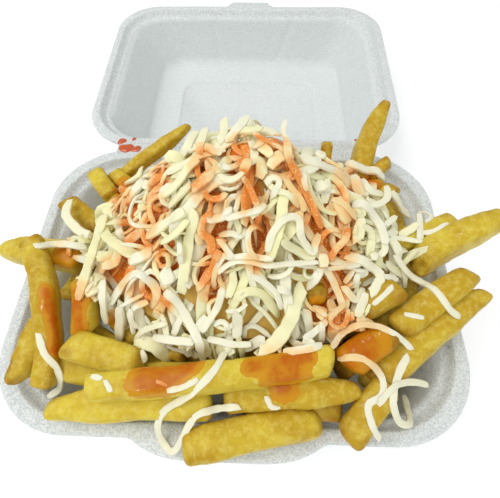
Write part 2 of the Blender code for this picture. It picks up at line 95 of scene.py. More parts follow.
def add_camera():
    """The camera at the photograph's view."""
    lens = bpy.data.cameras.new("view")
    lens.sensor_fit = "HORIZONTAL"
    lens.sensor_width = SENSOR_WIDTH
    lens.lens = FOCAL_PIXELS * SENSOR_WIDTH / IMAGE_WIDTH
    lens.clip_start = 1 * MM
    camera = bpy.data.objects.new("view", lens)
    turn = Matrix((RIGHT, UP, -FORWARD)).transposed().to_4x4()
    camera.matrix_world = Matrix.Translation(CAMERA_PLACE) @ turn
    bpy.context.scene.collection.objects.link(camera)
    bpy.context.scene.camera = camera


add_camera()
print("lens", round(FOCAL_PIXELS * SENSOR_WIDTH / IMAGE_WIDTH, 2), "mm")

# %% [markdown]
# ## Shader maths
# Finishes here are sums and masks, so a small class wraps a socket: an expression such as
# `1 - mask * 0.5` adds its Math nodes by itself. Colours go through Mix, and every other node comes
# from one method that takes its type, its settings and its sockets.


# %% Socket arithmetic
class Value:
    """A socket whose arithmetic adds Math nodes."""

    def __init__(self, tree, socket):
        self.tree = tree
        self.socket = socket

    def maths(self, operation, left, right=0.0):
        made = self.tree.nodes.new("ShaderNodeMath")
        made.operation = operation
        for slot, item in zip(made.inputs, (left, right)):
            if isinstance(item, Value):
                self.tree.links.new(item.socket, slot)
            else:
                slot.default_value = item
        return Value(self.tree, made.outputs[0])

    def __add__(self, other):
        return self.maths("ADD", self, other)

    def __radd__(self, other):
        return self.maths("ADD", other, self)

    def __sub__(self, other):
        return self.maths("SUBTRACT", self, other)

    def __rsub__(self, other):
        return self.maths("SUBTRACT", other, self)

    def __mul__(self, other):
        return self.maths("MULTIPLY", self, other)

    def __rmul__(self, other):
        return self.maths("MULTIPLY", other, self)

    def __pow__(self, other):
        return self.maths("POWER", self, other)

    def between(self, low, high):
        """0 below the low value, 1 above the high one, with a soft step between."""
        made = self.tree.nodes.new("ShaderNodeMapRange")
        made.interpolation_type = "SMOOTHSTEP"
        self.tree.links.new(self.socket, made.inputs["Value"])
        made.inputs["From Min"].default_value = low
        made.inputs["From Max"].default_value = high
        return Value(self.tree, made.outputs[0])


# %% Finish
def linear(red, green, blue):
    """A colour read in a picture's 0 to 255 scale, as the shader's linear values."""
    channels = [value / 255 for value in (red, green, blue)]
    return tuple(c / 12.92 if c <= 0.04045 else ((c + 0.055) / 1.055) ** 2.4 for c in channels)


class Finish:
    """A material with one Principled shader. Fixed values sit on the shader's own sockets."""

    def __init__(self, name, **fixed):
        self.material = bpy.data.materials.new(name)
        self.material.use_nodes = True
        self.tree = self.material.node_tree
        self.shader = self.tree.nodes["Principled BSDF"]
        for socket, value in fixed.items():
            self.shader.inputs[socket.replace("_", " ")].default_value = value

    def node(self, kind, settings=None, sockets=None, out=0):
        """Any node: its settings first, then the values or links of its sockets."""
        made = self.tree.nodes.new(kind)
        for key, value in (settings or {}).items():
            setattr(made, key, value)
        for key, value in (sockets or {}).items():
            self.join(value, made.inputs[key])
        return Value(self.tree, made.outputs[out])

    def join(self, value, socket):
        """Links a Value to a socket, or sets the socket to a plain number or colour."""
        if isinstance(value, Value):
            self.tree.links.new(value.socket, socket)
        elif isinstance(value, tuple) and socket.type == "RGBA":
            socket.default_value = (*value, 1.0)
        else:
            socket.default_value = value

    def set(self, **values):
        """Feeds the shader's own sockets."""
        for name, value in values.items():
            self.join(value, self.shader.inputs[name.replace("_", " ")])

    def place(self):
        return self.node("ShaderNodeTexCoord", out="Object")

    def kept(self, name):
        """A number kept at every point of the mesh."""
        return self.node("ShaderNodeAttribute", {"attribute_name": name}, out="Fac")

    def noise(self, scale, detail=3.0, roughness=0.5, stretch=None):
        """Soft noise from 0 to 1, its scale in waves for each metre."""
        spot = self.place()
        if stretch:
            spot = self.node("ShaderNodeVectorMath", {"operation": "MULTIPLY"}, {0: spot, 1: stretch})
        values = {"Vector": spot, "Scale": scale, "Detail": detail, "Roughness": roughness}
        return self.node("ShaderNodeTexNoise", None, values)

    def cells(self, scale, feature="F1", out="Distance"):
        """Round cells, as packed beads have."""
        values = {"Vector": self.place(), "Scale": scale}
        return self.node("ShaderNodeTexVoronoi", {"feature": feature}, values, out)

    def blend(self, mask, below, above):
        """A colour mixed by a mask."""
        settings = {"data_type": "RGBA"}
        return self.node("ShaderNodeMix", settings, {0: mask, 6: below, 7: above}, out=2)

    def bump(self, height, depth, strength=1.0):
        """A bump of a real depth in metres on the shader's normal."""
        values = {"Height": height, "Distance": depth, "Strength": strength}
        self.set(Normal=self.node("ShaderNodeBump", None, values))


print("shader tools ready")

# %% [markdown]
# ## The foam
# Foam boxes are pressed from a sheet of tiny gas-blown cells. The sheet is white with a faint cool
# cast, and the cells glitter a little where the skin was stretched, most of all on the rims. Small
# Voronoi cells give that grain: they tilt the surface by hundredths of a millimetre, and each cell
# has a slightly different brightness.

# %% Foam finish
FOAM_WHITE = linear(232, 236, 235)
FOAM_GREY = linear(202, 207, 207)
BEADS_PER_METRE = 1300.0
GLITTER_PER_METRE = 2100.0


def foam_finish():
    finish = Finish("white_foam", Specular_IOR_Level=0.35, Subsurface_Weight=0.3,
                    Subsurface_Scale=1.0, Subsurface_Radius=(0.005, 0.005, 0.005))
    beads = finish.cells(BEADS_PER_METRE)
    glitter = finish.cells(GLITTER_PER_METRE, out="Color")
    spark = finish.node("ShaderNodeSeparateColor", None, {0: glitter})
    grain = finish.noise(800.0, 3.0, 0.6)
    skin = finish.kept("skin")
    pale = 0.75 - (0.75 - spark * 0.55 - grain * 0.5) * (0.2 + 0.8 * skin)
    finish.set(Base_Color=finish.blend(pale.between(0.2, 0.8), FOAM_GREY, FOAM_WHITE))
    finish.set(Roughness=0.6 - 0.32 * spark.between(0.7, 0.95) * skin)
    finish.bump((beads * -0.7 + grain * 0.9) * (0.25 + 0.75 * skin), 0.3 * MM, 0.8)
    return finish.material


FOAM = foam_finish()
print("foam cells", round(1 / BEADS_PER_METRE / MM, 2), "mm across")

# %% [markdown]
# ## The tray and the lid
# Both halves are the same kind of shell: a foot, slanted walls, a step with a ledge, and a flat rim.
# A loft through rounded rectangles would do, but the corners and the pressed panels need a fine
# mesh. So the wall's profile is cut into short steps, its corners are rounded by corner cutting, and
# each ring gets a few hundred points. The pressed details then move those points.

# %% Sizes of the box
BOX_HEIGHT = 38.0
FOAM_THICKNESS = 2.8
FOOT_HEIGHT = 1.2
RIM_THICKNESS = 2.9
RIM_ROUNDING = 0.6
STEP_DEPTH = 3.9
STEP_RUN = 1.7
LEDGE_WIDTH = 2.0
FLOOR_FILLET = 2.6
KNEE = 0.92
CORNER_SHRINK = 0.45
BASE = {"width": 185.0, "depth": 133.5, "corner": 32.0, "centre": 0.0, "flange": 5.3,
        "side_run": 16.0, "end_run": 5.6, "foot": (50.0, 33.0, 12.0)}
LID = {"width": 173.5, "depth": 125.8, "corner": 26.0, "centre": 134.4, "flange": 4.5,
       "side_run": 13.5, "end_run": 3.6, "foot": (46.0, 29.5, 9.0)}
HINGE_Y = 69.25
HINGE_HALF_LENGTH = 66.5


def tray_stations(tray):
    """The shell's profile: half width, half depth, corner radius and height of each ring."""
    def ring(half_x, half_y, z):
        return (half_x, half_y, tray["corner"] - CORNER_SHRINK * (tray["width"] / 2 - half_x), z)

    def rim(inset, z):
        return ring(tray["width"] / 2 - inset, tray["depth"] / 2 - inset, z)

    def wall(share):
        inset = tray["flange"] + STEP_RUN + LEDGE_WIDTH
        return (tray["width"] / 2 - inset - tray["side_run"] * share,
                tray["depth"] / 2 - inset - tray["end_run"] * share)

    def foot(grow, z):
        return (*(size + grow for size in tray["foot"]), z)

    ledge, knee, floor = wall(0.0), wall(KNEE), wall(1.0)
    low, top = BOX_HEIGHT - RIM_THICKNESS, BOX_HEIGHT
    floor_z = FOOT_HEIGHT + FOAM_THICKNESS
    return [
        foot(0.0, 0.0),
        foot(FOOT_HEIGHT, FOOT_HEIGHT),
        ring(floor[0] + 1.7, floor[1] + 1.7, FOOT_HEIGHT),
        ring(knee[0] + 3.1, knee[1] + FOAM_THICKNESS, FOOT_HEIGHT + FLOOR_FILLET),
        ring(ledge[0] + 3.1, ledge[1] + FOAM_THICKNESS, low - RIM_ROUNDING),
        rim(RIM_ROUNDING, low),
        rim(0.0, low + RIM_ROUNDING),
        rim(0.0, top - RIM_ROUNDING),
        rim(RIM_ROUNDING, top),
        rim(tray["flange"] - RIM_ROUNDING, top),
        rim(tray["flange"], top - RIM_ROUNDING),
        ring(ledge[0] + LEDGE_WIDTH, ledge[1] + LEDGE_WIDTH, BOX_HEIGHT - STEP_DEPTH),
        ring(*ledge, BOX_HEIGHT - STEP_DEPTH - 0.4),
        ring(*knee, floor_z + FLOOR_FILLET),
        ring(floor[0] - 1.5, floor[1] - 1.5, floor_z),
        foot(FOOT_HEIGHT, floor_z),
        foot(0.0, FOAM_THICKNESS),
    ]


# %% Finer profile
PROFILE_STEP = 4.0
CORNER_CUTS = 2


def finer(stations):
    """Stations a few millimetres apart, with the profile's corners cut off twice to round them."""
    rows = np.array(stations)
    steps = [rows[:1]]
    for a, b in zip(rows, rows[1:]):
        reach = max(abs(b[0] - a[0]), abs(b[1] - a[1]), abs(b[3] - a[3]))
        count = max(1, math.ceil(reach / PROFILE_STEP))
        shares = np.arange(1, count + 1)[:, None] / count
        steps.append(a + (b - a) * shares)
    rows = np.vstack(steps)
    for _ in range(CORNER_CUTS):
        early = 0.75 * rows[:-1] + 0.25 * rows[1:]
        late = 0.25 * rows[:-1] + 0.75 * rows[1:]
        inner = np.stack([early, late], 1).reshape(-1, 4)
        rows = np.vstack([rows[:1], inner, rows[-1:]])
    return rows


print("profile rings", len(finer(tray_stations(BASE))))

# %% Rounded rectangles
ARC_STEPS = 16
SIDE_STEPS = (60, 36)


def rectangle(half_x, half_y, radius, centre_y):
    """Points of a rounded rectangle in mm, anticlockwise from the right side, evenly spread."""
    points = []
    signs = ((1, 1), (-1, 1), (-1, -1), (1, -1))
    for quarter, (sx, sy) in enumerate(signs):
        centre = np.array((sx * (half_x - radius), sy * (half_y - radius)))
        angles = (quarter + np.linspace(0, 1, ARC_STEPS + 1)) * math.pi / 2
        arc = centre + radius * np.stack([np.cos(angles), np.sin(angles)], 1)
        points.append(arc)
        nx, ny = signs[(quarter + 1) % 4]
        after = np.array((nx * (half_x - radius), ny * (half_y - radius)))
        angle = (quarter + 1) * math.pi / 2
        start = after + radius * np.array((math.cos(angle), math.sin(angle)))
        count = SIDE_STEPS[quarter % 2]
        shares = np.arange(1, count)[:, None] / count
        points.append(arc[-1] + (start - arc[-1]) * shares)
    plan = np.vstack(points)
    plan[:, 1] += centre_y
    return plan


print("points round a ring", len(rectangle(10, 8, 2, 0)))

# %% [markdown]
# The closure is part of the rim: a wide tongue bulges out of the tray's front, and a small tab out
# of the lid's far side. A smooth rule pulls the rim's outer points outward, so there is no seam.

# %% Tongue and tab
TONGUE_HALF_WIDTH = 35.4
TONGUE_REACH = 6.7
TAB_HALF_WIDTHS = (15.5, 12.2)
TAB_REACH = 4.9


def soft_step(x, low, high):
    """0 at the low value, 1 at the high one, smooth between, also where low is the larger."""
    share = np.clip((x - low) / (high - low), 0.0, 1.0)
    return share * share * (3 - 2 * share)


def rim_bulge(tray, plan, inset):
    """How far each rim point moves out in y, in mm."""
    weight = np.clip(1.5 * (1 - inset / tray["flange"]), 0.0, 1.0)
    if tray is BASE:
        share = np.clip(np.abs(plan[:, 0]) / TONGUE_HALF_WIDTH, 0, 1)
        reach = TONGUE_REACH * np.cos(math.pi / 2 * share ** 2.2)
        return -reach * weight * (plan[:, 1] < 0)
    reach = TAB_REACH * soft_step(np.abs(plan[:, 0]), *TAB_HALF_WIDTHS)
    return reach * weight * (plan[:, 1] > tray["centre"])


print("tongue", 2 * TONGUE_HALF_WIDTH, "mm wide")

# %% [markdown]
# Pressed panels stiffen the walls. On the inside each side wall stands a millimetre proud between
# two soft ends, with a thin bright ledge above, and the lid's far wall has two slanted grooves.

# %% Pressed details
PANEL_DEPTH = 1.0
GROOVE_DEPTH = 0.9
GROOVE_WIDTH = 1.6
LID_PANEL = (98.0, 177.0)
BASE_PANEL = (-37.0, 38.0)
LID_GROOVES = ((19.5, 29.5), (-22.0, -25.5))
BASE_GROOVES = ((46.0, 49.0), (-46.0, -49.0))
PANEL_TOP = 32.5


def press(tray, points):
    """Moves the inner wall's points by the pressed panels and grooves."""
    x, y, z = points.T
    low, high = LID_PANEL if tray is LID else BASE_PANEL
    along = soft_step(y, low - 1.5, low + 1.5) * soft_step(y, high + 1.5, high - 1.5)
    level = soft_step(z, PANEL_TOP + 0.8, PANEL_TOP - 0.8) * soft_step(z, 4.5, 9.0)
    side = soft_step(np.abs(x), 46.0, 60.0)
    points[:, 0] -= np.sign(x) * PANEL_DEPTH * along * level * side
    rise = np.clip((z - 6) / 28, 0, 1)
    half_depth = tray["depth"] / 2
    for foot_x, top_x in (LID_GROOVES if tray is LID else BASE_GROOVES):
        line = foot_x + (top_x - foot_x) * rise
        dip = np.exp(-((x - line) / GROOVE_WIDTH) ** 2) * GROOVE_DEPTH * level
        outward = y - tray["centre"]
        ends = soft_step(np.abs(outward), half_depth - 22, half_depth - 14)
        points[:, 1] += np.sign(outward) * dip * ends
    return points


# %% Shell mesh
WAVER = 0.22
WAVER_SIZE = 26.0
RIM_SKIN = 1.0
WALL_SKIN = 0.45


def new_piece(name, points, faces, finish, kept=None):
    """An object from points in metres and faces, with numbers kept at its points."""
    mesh = bpy.data.meshes.new(name)
    mesh.from_pydata([tuple(p) for p in points], [], faces)
    for key, values in (kept or {}).items():
        layer = mesh.attributes.new(key, "FLOAT", "POINT")
        layer.data.foreach_set("value", np.asarray(values, np.float32))
    mesh.materials.append(finish)
    mesh.shade_smooth()
    piece = bpy.data.objects.new(name, mesh)
    bpy.context.scene.collection.objects.link(piece)
    return piece


def ring_faces(rings, sides, start=0):
    """Quads between rings of equal counts, and one face over each end, all facing out."""
    index = start + np.arange(rings * sides).reshape(rings, sides)
    after = np.roll(index, -1, axis=1)
    quads = np.stack([index[:-1], index[1:], after[1:], after[:-1]], -1).reshape(-1, 4)
    return quads.tolist() + [index[0].tolist(), index[-1][::-1].tolist()]


def shell(tray, name):
    """One half of the box."""
    rows = finer(tray_stations(tray))
    top_row = int(np.argmax(rows[:, 3]))
    rings, skins = [], []
    for number, (half_x, half_y, radius, z) in enumerate(rows):
        plan = rectangle(half_x, half_y, max(radius, 1.0), tray["centre"])
        inset = tray["width"] / 2 - half_x
        if inset < tray["flange"] and z > BOX_HEIGHT - RIM_THICKNESS - 0.5:
            plan[:, 1] += rim_bulge(tray, plan, inset)
        ring = np.column_stack([plan, np.full(len(plan), z)])
        if number > top_row and z < BOX_HEIGHT - 2:
            ring = press(tray, ring)
        if z > 2 * FOOT_HEIGHT:
            for point in ring:
                point += WAVER * np.array(noise.noise_vector(Vector(point) / WAVER_SIZE))
        rings.append(ring)
        skins.append(np.full(len(ring), RIM_SKIN if z > BOX_HEIGHT - 5 else WALL_SKIN))
    faces = [face[::-1] for face in ring_faces(len(rings), len(rings[0]))]
    return new_piece(name, np.vstack(rings) * MM, faces, FOAM, {"skin": np.concatenate(skins)})


tray_shell = shell(BASE, "tray_shell")
lid_shell = shell(LID, "lid_shell")
for piece, body, node in ((tray_shell, "base", "box_base"), (lid_shell, "lid", "box_lid")):
    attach(piece, body)
    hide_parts(node)
    print(piece.name, len(piece.data.polygons), "faces")

# %% [markdown]
# ## The hinge
# The lid turns on a pressed crease: the rims run together in a thin strip that folds. The strip is
# one closed sheet that reaches onto the tray's rim on one side and the lid's on the other.

# %% Hinge film
FILM_THICKNESS = 1.1
FILM_LAP = 1.6
CREASE_DEPTH = 0.65
CREASE_WIDTH = 0.8
FILM_STEPS = (96, 18)


def hinge_film():
    """A thin strip between the two rims, with a groove along the crease."""
    low = BASE["depth"] / 2 - FILM_LAP
    high = LID["centre"] - LID["depth"] / 2 + FILM_LAP
    across = np.linspace(low, high, FILM_STEPS[1])
    groove = CREASE_DEPTH * np.exp(-((across - HINGE_Y) / CREASE_WIDTH) ** 2)
    rings = []
    for x in np.linspace(-HINGE_HALF_LENGTH, HINGE_HALF_LENGTH, FILM_STEPS[0]):
        waver = 0.15 * noise.noise(Vector((x / 5, 0.0, 3.0)))
        top = BOX_HEIGHT - 0.12 - groove * (1 + waver)
        under = BOX_HEIGHT - FILM_THICKNESS + 0.3 * groove
        upper = np.column_stack([np.full(len(across), x), across, top])
        lower = np.column_stack([np.full(len(across), x), across, under])
        rings.append(np.vstack([upper, lower[::-1]]))
    faces = ring_faces(len(rings), len(rings[0]))
    points = np.vstack(rings) * MM
    return new_piece("hinge_film", points, faces, FOAM, {"skin": np.full(len(points), RIM_SKIN)})


film = hinge_film()
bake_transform(film)
print("hinge film", round(2 * HINGE_HALF_LENGTH), "mm long")

# %% [markdown]
# ## Where things lie
# The photograph shows which fry and which shred lies where, but only along the line of sight. A ray
# from the camera through a pixel finds the point of the solid heap under it, and that point is the
# place. Everything is then laid on what carries it, so it holds from any side.

# %% Rays through the photograph


def solid_tree(objects):
    """A search tree over the faces of some objects."""
    points, faces = [], []
    for item in objects:
        start = len(points)
        points += [vertex.co for vertex in item.data.vertices]
        faces += [[start + i for i in polygon.vertices] for polygon in item.data.polygons]
    return BVHTree.FromPolygons(points, faces)


HEAP_TREE = solid_tree([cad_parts[name] for name in ("fries", "cheese", "box_base", "box_lid")])


def seen_at(px, py):
    """The point of the solids under a pixel, in mm."""
    hit = HEAP_TREE.ray_cast(CAMERA_PLACE, pixel_ray(px, py))[0]
    return np.array(hit) / MM if hit else None


print("heap's middle", np.round(seen_at(250, 250), 1))

# %% [markdown]
# ## The hot sauce's course
# The sauce was drizzled in bands over the heap and ran down. It isn't a layer of its own there: it
# soaks and tints what it lies on. So its course is kept as a cloud of points with a reach, and every
# point of a fry or a shred keeps how near it is to that course. Pixel paths give the bands that
# show, and a few drawn ones carry on over the back.

# %% Bands of sauce
BAND_PIXELS = {
    "left_outer": ((128, 176), (123, 205), (133, 238), (128, 268), (150, 292)),
    "left_inner": ((166, 164), (163, 178), (156, 208), (152, 240), (165, 262)),
    "left_foot": ((112, 268), (128, 275), (140, 290), (160, 300)),
    "middle": ((204, 158), (203, 185), (214, 200), (212, 226), (216, 252), (210, 292)),
    "middle_right": ((240, 150), (246, 176), (254, 206), (262, 232), (255, 262)),
    "crown": ((262, 142), (276, 147), (290, 142)),
    "right_inner": ((278, 150), (290, 178), (300, 205), (318, 240), (326, 262)),
    "right_outer": ((316, 150), (334, 180), (342, 214), (346, 244), (336, 268), (344, 300)),
    "right_foot": ((318, 306), (340, 318), (352, 330)),
    "back_right": ((330, 152), (348, 168), (352, 190)),
}
BAND_REACH = 4.4
STREAK_PIXELS = {
    "upright": (3.0, ((46, 292), (50, 306), (54, 322), (57, 338), (55, 350))),
    "long_fry": (6.2, ((146, 378), (156, 380), (168, 376))),
    "long_fry_thin": (4.2, ((172, 376), (184, 370), (194, 366))),
    "long_fry_edge": (3.6, ((250, 366), (268, 362), (290, 360), (308, 357))),
    "left_sauced": (4.0, ((76, 296), (76, 312), (79, 326))),
}
HIDDEN_BANDS = (((-28, 36), (-36, 44), (-44, 46)), ((-2, 38), (-8, 47), (-10, 52)),
                ((22, 40), (30, 47), (34, 50)), ((44, 30), (54, 36), (60, 38)))
PATCH_PIXELS = {
    "left_block_low": (84, 290, 5.0), "side_face": (66, 254, 5.5), "front_pool": (284, 372, 9.0),
    "front_pool_low": (284, 386, 5.5), "block": (362, 345, 10.5), "block_low": (350, 362, 5.0),
    "behind": (330, 318, 6.0), "left_core": (120, 315, 5.0), "ring_tip": (76, 232, 5.0),
    "side_low": (62, 275, 4.0),
}
SAUCE_SEED = 5
UNEVEN_BAND = (0.7, 1.25)
UNEVEN_STREAK = (0.9, 1.15)
SAUCE_FADE = 1.45
BLOCK_SIZE = 4000


def path_points(corners, step=1.5):
    """Points along straight stretches between corners, a step apart."""
    corners = np.array([corner for corner in corners if corner is not None])
    points = []
    for a, b in zip(corners, corners[1:]):
        count = max(1, round(float(np.linalg.norm(b - a)) / step))
        points += [a + (b - a) * i / count for i in range(count)]
    return np.array(points + [corners[-1]])


def hidden_band(plan):
    """A band on the heap's back, laid on the solids from above."""
    corners = []
    for x, y in plan:
        hit = HEAP_TREE.ray_cast(Vector((x, y, 150)) * MM, Vector((0, 0, -1)))[0]
        corners.append(np.array(hit) / MM)
    return path_points(corners)


def sauce_course():
    """Every point of the sauce's course, with its reach in mm."""
    spots = []
    draw = random.Random(SAUCE_SEED)

    def add(points, reach, uneven):
        for point in points:
            spots.append((*point, reach * draw.uniform(*uneven)))

    for corners in BAND_PIXELS.values():
        add(path_points([seen_at(*corner) for corner in corners]), BAND_REACH, UNEVEN_BAND)
    for reach, corners in STREAK_PIXELS.values():
        add(path_points([seen_at(*corner) for corner in corners]), reach, UNEVEN_STREAK)
    for plan in HIDDEN_BANDS:
        add(hidden_band(plan), BAND_REACH, UNEVEN_BAND)
    for px, py, reach in PATCH_PIXELS.values():
        spots.append((*seen_at(px, py), reach))
    return np.array(spots)


SAUCE = sauce_course()


def sauce_at(points):
    """How deep in the sauce each point is: 0 clear of it, 1 in its middle."""
    near = np.zeros(len(points))
    for start in range(0, len(points), BLOCK_SIZE):
        block = points[start:start + BLOCK_SIZE]
        apart = np.linalg.norm(block[:, None, :] - SAUCE[None, :, :3], axis=2)
        near[start:start + BLOCK_SIZE] = np.clip(SAUCE_FADE - apart / SAUCE[:, 3], 0, 1).max(1)
    return near


print("sauce course points", len(SAUCE))

# %% [markdown]
# ## Tubes that become food
# A fry and a shred are both a line with a soft section along it. One collector turns many such tubes
# into a single mesh and keeps a few numbers at every point, such as how near the end it is. A joined
# mesh exports as it is, where instances would be lost.


# %% Collector
class Tubes:
    """Many closed tubes in one mesh, in mm until it is made."""

    def __init__(self):
        self.points = []
        self.faces = []
        self.kept = {}
        self.count = 0

    def add(self, rings, **kept):
        """One tube from its rings, an array of rings, points and xyz."""
        number, sides = rings.shape[:2]
        self.faces += ring_faces(number, sides, self.count)
        self.points.append(rings.reshape(-1, 3))
        self.count += number * sides
        for key, values in kept.items():
            values = np.reshape(values, (-1, 1)) if np.ndim(values) < 2 else values
            spread = np.broadcast_to(values, (number, sides))
            self.kept.setdefault(key, []).append(spread.ravel())

    def piece(self, name, finish, edge=None):
        """The joined mesh, with the sauce's nearness at every point, and edges kept over an angle."""
        points = np.vstack(self.points)
        kept = {key: np.concatenate(values) for key, values in self.kept.items()}
        kept["sauce"] = sauce_at(points)
        made = new_piece(name, points * MM, self.faces, finish, kept)
        if edge:
            made.data.set_sharp_from_angle(angle=math.radians(edge))
        return made


def directions(line):
    """Unit vectors along a line of points, in plan or in space."""
    along = np.gradient(line, axis=0)
    return along / (np.linalg.norm(along, axis=1)[:, None] + 1e-9)


def frames_along(line, twist=0.0):
    """Unit vectors to the side of a line and above it, turned about it by the twist."""
    along = directions(line)
    side = np.cross(along, (0.0, 0.0, 1.0))
    side /= np.linalg.norm(side, axis=1)[:, None] + 1e-9
    above = np.cross(side, along)
    turn = np.broadcast_to(twist, len(line))[:, None]
    return side * np.cos(turn) + above * np.sin(turn), above * np.cos(turn) - side * np.sin(turn)


def tube_rings(line, sides, aboves, wide, tall):
    """The rings of a tube, from its line and each ring's points to the side and above."""
    return line[:, None, :] + sides[:, None, :] * wide[..., None] + aboves[:, None, :] * tall[..., None]


def section(sides, squareness):
    """A round (0) to squarish (1) section of the given number of points."""
    angles = (np.arange(sides) + 0.5) * 2 * math.pi / sides
    reach = np.maximum(np.abs(np.cos(angles)), np.abs(np.sin(angles))) ** -squareness
    return np.cos(angles) * reach, np.sin(angles) * reach


print("collector ready")

# %% [markdown]
# ## The fries
# A thick-cut fry is a square stick with soft edges: cut at a slant at the ends, a little bent, and
# blistered by the oil. Each one that shows has its own place, width and bow, the same as in the
# solids. The rest lie round the heap by a seeded draw.

# %% The fries that show
SHOWN_FRIES = {
    "tongue": ((-14, -69, 44.8), (33, -60, 44.8), 11.5, 11.5, -0.8),
    "front_left": ((-63, -59, 45.2), (-5, -54, 46.2), 12.5, 12.5, -1.0),
    "long_front": ((-45, -52, 55.5), (36, -41, 58.5), 9.5, 10.0, 1.0),
    "front_mid": ((-1, -52.5, 47.5), (46, -49, 50), 11.0, 11.0, 0.0),
    "front_stub": ((-1, -55, 47), (16, -46, 50), 8.5, 8.5, 0.0),
    "front_low": ((6, -55, 41), (40, -55, 41), 9.0, 9.0, 0.0),
    "front_under": ((-36, -47, 42), (12, -44, 42), 10.0, 10.0, 0.0),
    "right_front": ((41, -65, 45), (55, -48, 49), 10.5, 11.0, 0.0),
    "right_under": ((40, -42, 43), (68, -16, 44), 10.0, 10.0, 0.0),
    "brown": ((51, -46, 47), (65, -31, 48), 8.5, 9.0, 0.0),
    "left_upright": ((-78, 0, 61.5), (-68, -51, 43), 8.5, 9.0, -4.0),
    "left_poke": ((-97, 1, 52), (-60, -3, 50), 11.0, 11.0, 0.0),
    "left_crescent": ((-79, -51, 47), (-77, -26, 45), 9.0, 9.5, 3.0),
    "left_mid": ((-60, -36, 50), (-30, -44, 48), 11.5, 11.0, 0.0),
    "left_low": ((-66, -43, 41), (-44, -47, 40), 9.5, 9.5, 0.0),
    "left_under": ((-60, -30, 39), (-24, -46, 39), 10.0, 10.0, 0.0),
    "left_sauced": ((-55, -14, 58), (-55, -32, 47), 8.5, 9.0, 0.0),
    "right_top": ((104, 13, 62), (70, -4, 56.5), 10.5, 12.0, 1.0),
    "right_mid": ((91, -7, 56), (60, -29, 51.5), 10.5, 10.5, 0.0),
    "right_low": ((98, -13, 51), (51, -48, 46), 12.0, 12.5, 2.0),
    "right_back": ((86, 11, 52.5), (68, 3, 48), 9.5, 9.5, 0.0),
    "sauce_block": ((40, -42, 54), (57, -31, 54), 11.0, 11.0, 0.0),
    "back_right": ((68, 75, 64), (56, 43, 44.5), 9.0, 12.0, 2.0),
    "back_left": ((-23, 60.5, 62), (-56, 46, 44), 6.0, 6.5, 0.0),
    "left_back": ((-68, 43, 47), (-57, 29, 48), 8.0, 8.0, 0.0),
}
POINTED_ENDS = {
    "front_mid": (0, 1), "right_low": (1, 0), "left_poke": (1, 0), "left_crescent": (1, 1),
    "front_left": (1, 0), "back_left": (1, 0.2), "right_top": (0.5, 0), "back_right": (0.9, 0),
    "tongue": (0, 0.5), "right_mid": (0.5, 0),
}
BROWNED = {"brown": 0.9, "front_low": 0.6, "left_crescent": 0.35, "right_under": 0.4, "sauce_block": 0.5}

# %% The fries that peek out of the cheese
PEEKING_FRIES = {
    "right_behind": ((90, 15, 56), (62, 5, 51.5), 9.5, 9.5, 0.0),
    "right_inner": ((61, -15.5, 57), (46, -23.5, 56), 9.0, 9.0, 0.0),
    "peek_mid": ((31, -21, 62), (28, -8, 52), 7.0, 7.0, 0.0),
    "peek_top": ((38, 46, 67), (37, 38, 54), 4.5, 4.5, 0.0),
    "peek_right": ((70, 36, 52), (58, 28, 46), 7.0, 7.0, 0.0),
    "stub_back": ((70, 50, 52), (60, 43, 48), 5.5, 6.0, 0.0),
    "left_tip": ((-78, 27, 47), (-60, 14, 45), 9.0, 9.0, 0.0),
    "left_orange": ((-61.5, 45.5, 46), (-50, 36, 45), 8.0, 8.0, 0.0),
}

# %% One fry
FRY_SIDES = 24
FRY_RINGS = {"shown": 64, "loose": 30}
FRY_SQUARENESS = 0.72
BLISTER = 0.36
BLISTER_SIZE = 4.5
PUCKER = 0.16
PUCKER_SIZE = 1.3
CROOK = 0.9
CROOK_SIZE = 22.0
SWAY = 0.6
SLANT = 0.4
DOMED_LENGTH = 0.6
WAIST = 0.1
WAIST_SIZE = 12.0
POINT_SHARE = 0.34
POINT_DEPTH = 0.55


def fry_line(draw, start, end, bow, share):
    """A fry's middle line: bowed, a little swayed and crooked."""
    side, above = (v[0] for v in frames_along(np.array([start, end])))
    sway = draw.uniform(-SWAY, SWAY)
    line = start + (end - start) * share[:, None]
    line = line + side * (bow * 4 * share * (1 - share))[:, None]
    line = line + above * (sway * np.sin(2 * math.pi * share))[:, None]
    crook = np.array([noise.noise_vector(Vector(point) / CROOK_SIZE) for point in line])
    return line + CROOK * crook * np.sin(math.pi * share)[:, None]


def fry_size(line, share, domed, pointed):
    """How full the section is along a fry, with domed ends, pointed where asked."""
    into = np.clip((np.abs(2 * share - 1) - (1 - domed)) / domed, 0, 1)
    size = np.maximum((1 - into ** 2.6) ** 0.45, 0.03)
    size = size * (1 + WAIST * np.array([noise.noise(Vector(point) / WAIST_SIZE) for point in line]))
    taper = 1.0
    for amount, apart in zip(pointed, (share, 1 - share)):
        taper = taper - POINT_DEPTH * amount * np.clip(1 - apart / POINT_SHARE, 0, 1) ** 1.1
    return size * taper


def blister(rings, line):
    """Moves each point in or out from the line by the skin's blisters and puckers."""
    for ring, middle in zip(rings, line):
        for point in ring:
            spot = Vector(point)
            rough = BLISTER * noise.noise(spot / BLISTER_SIZE) + PUCKER * noise.noise(spot / PUCKER_SIZE)
            point += (point - middle) / (np.linalg.norm(point - middle) + 0.5) * rough


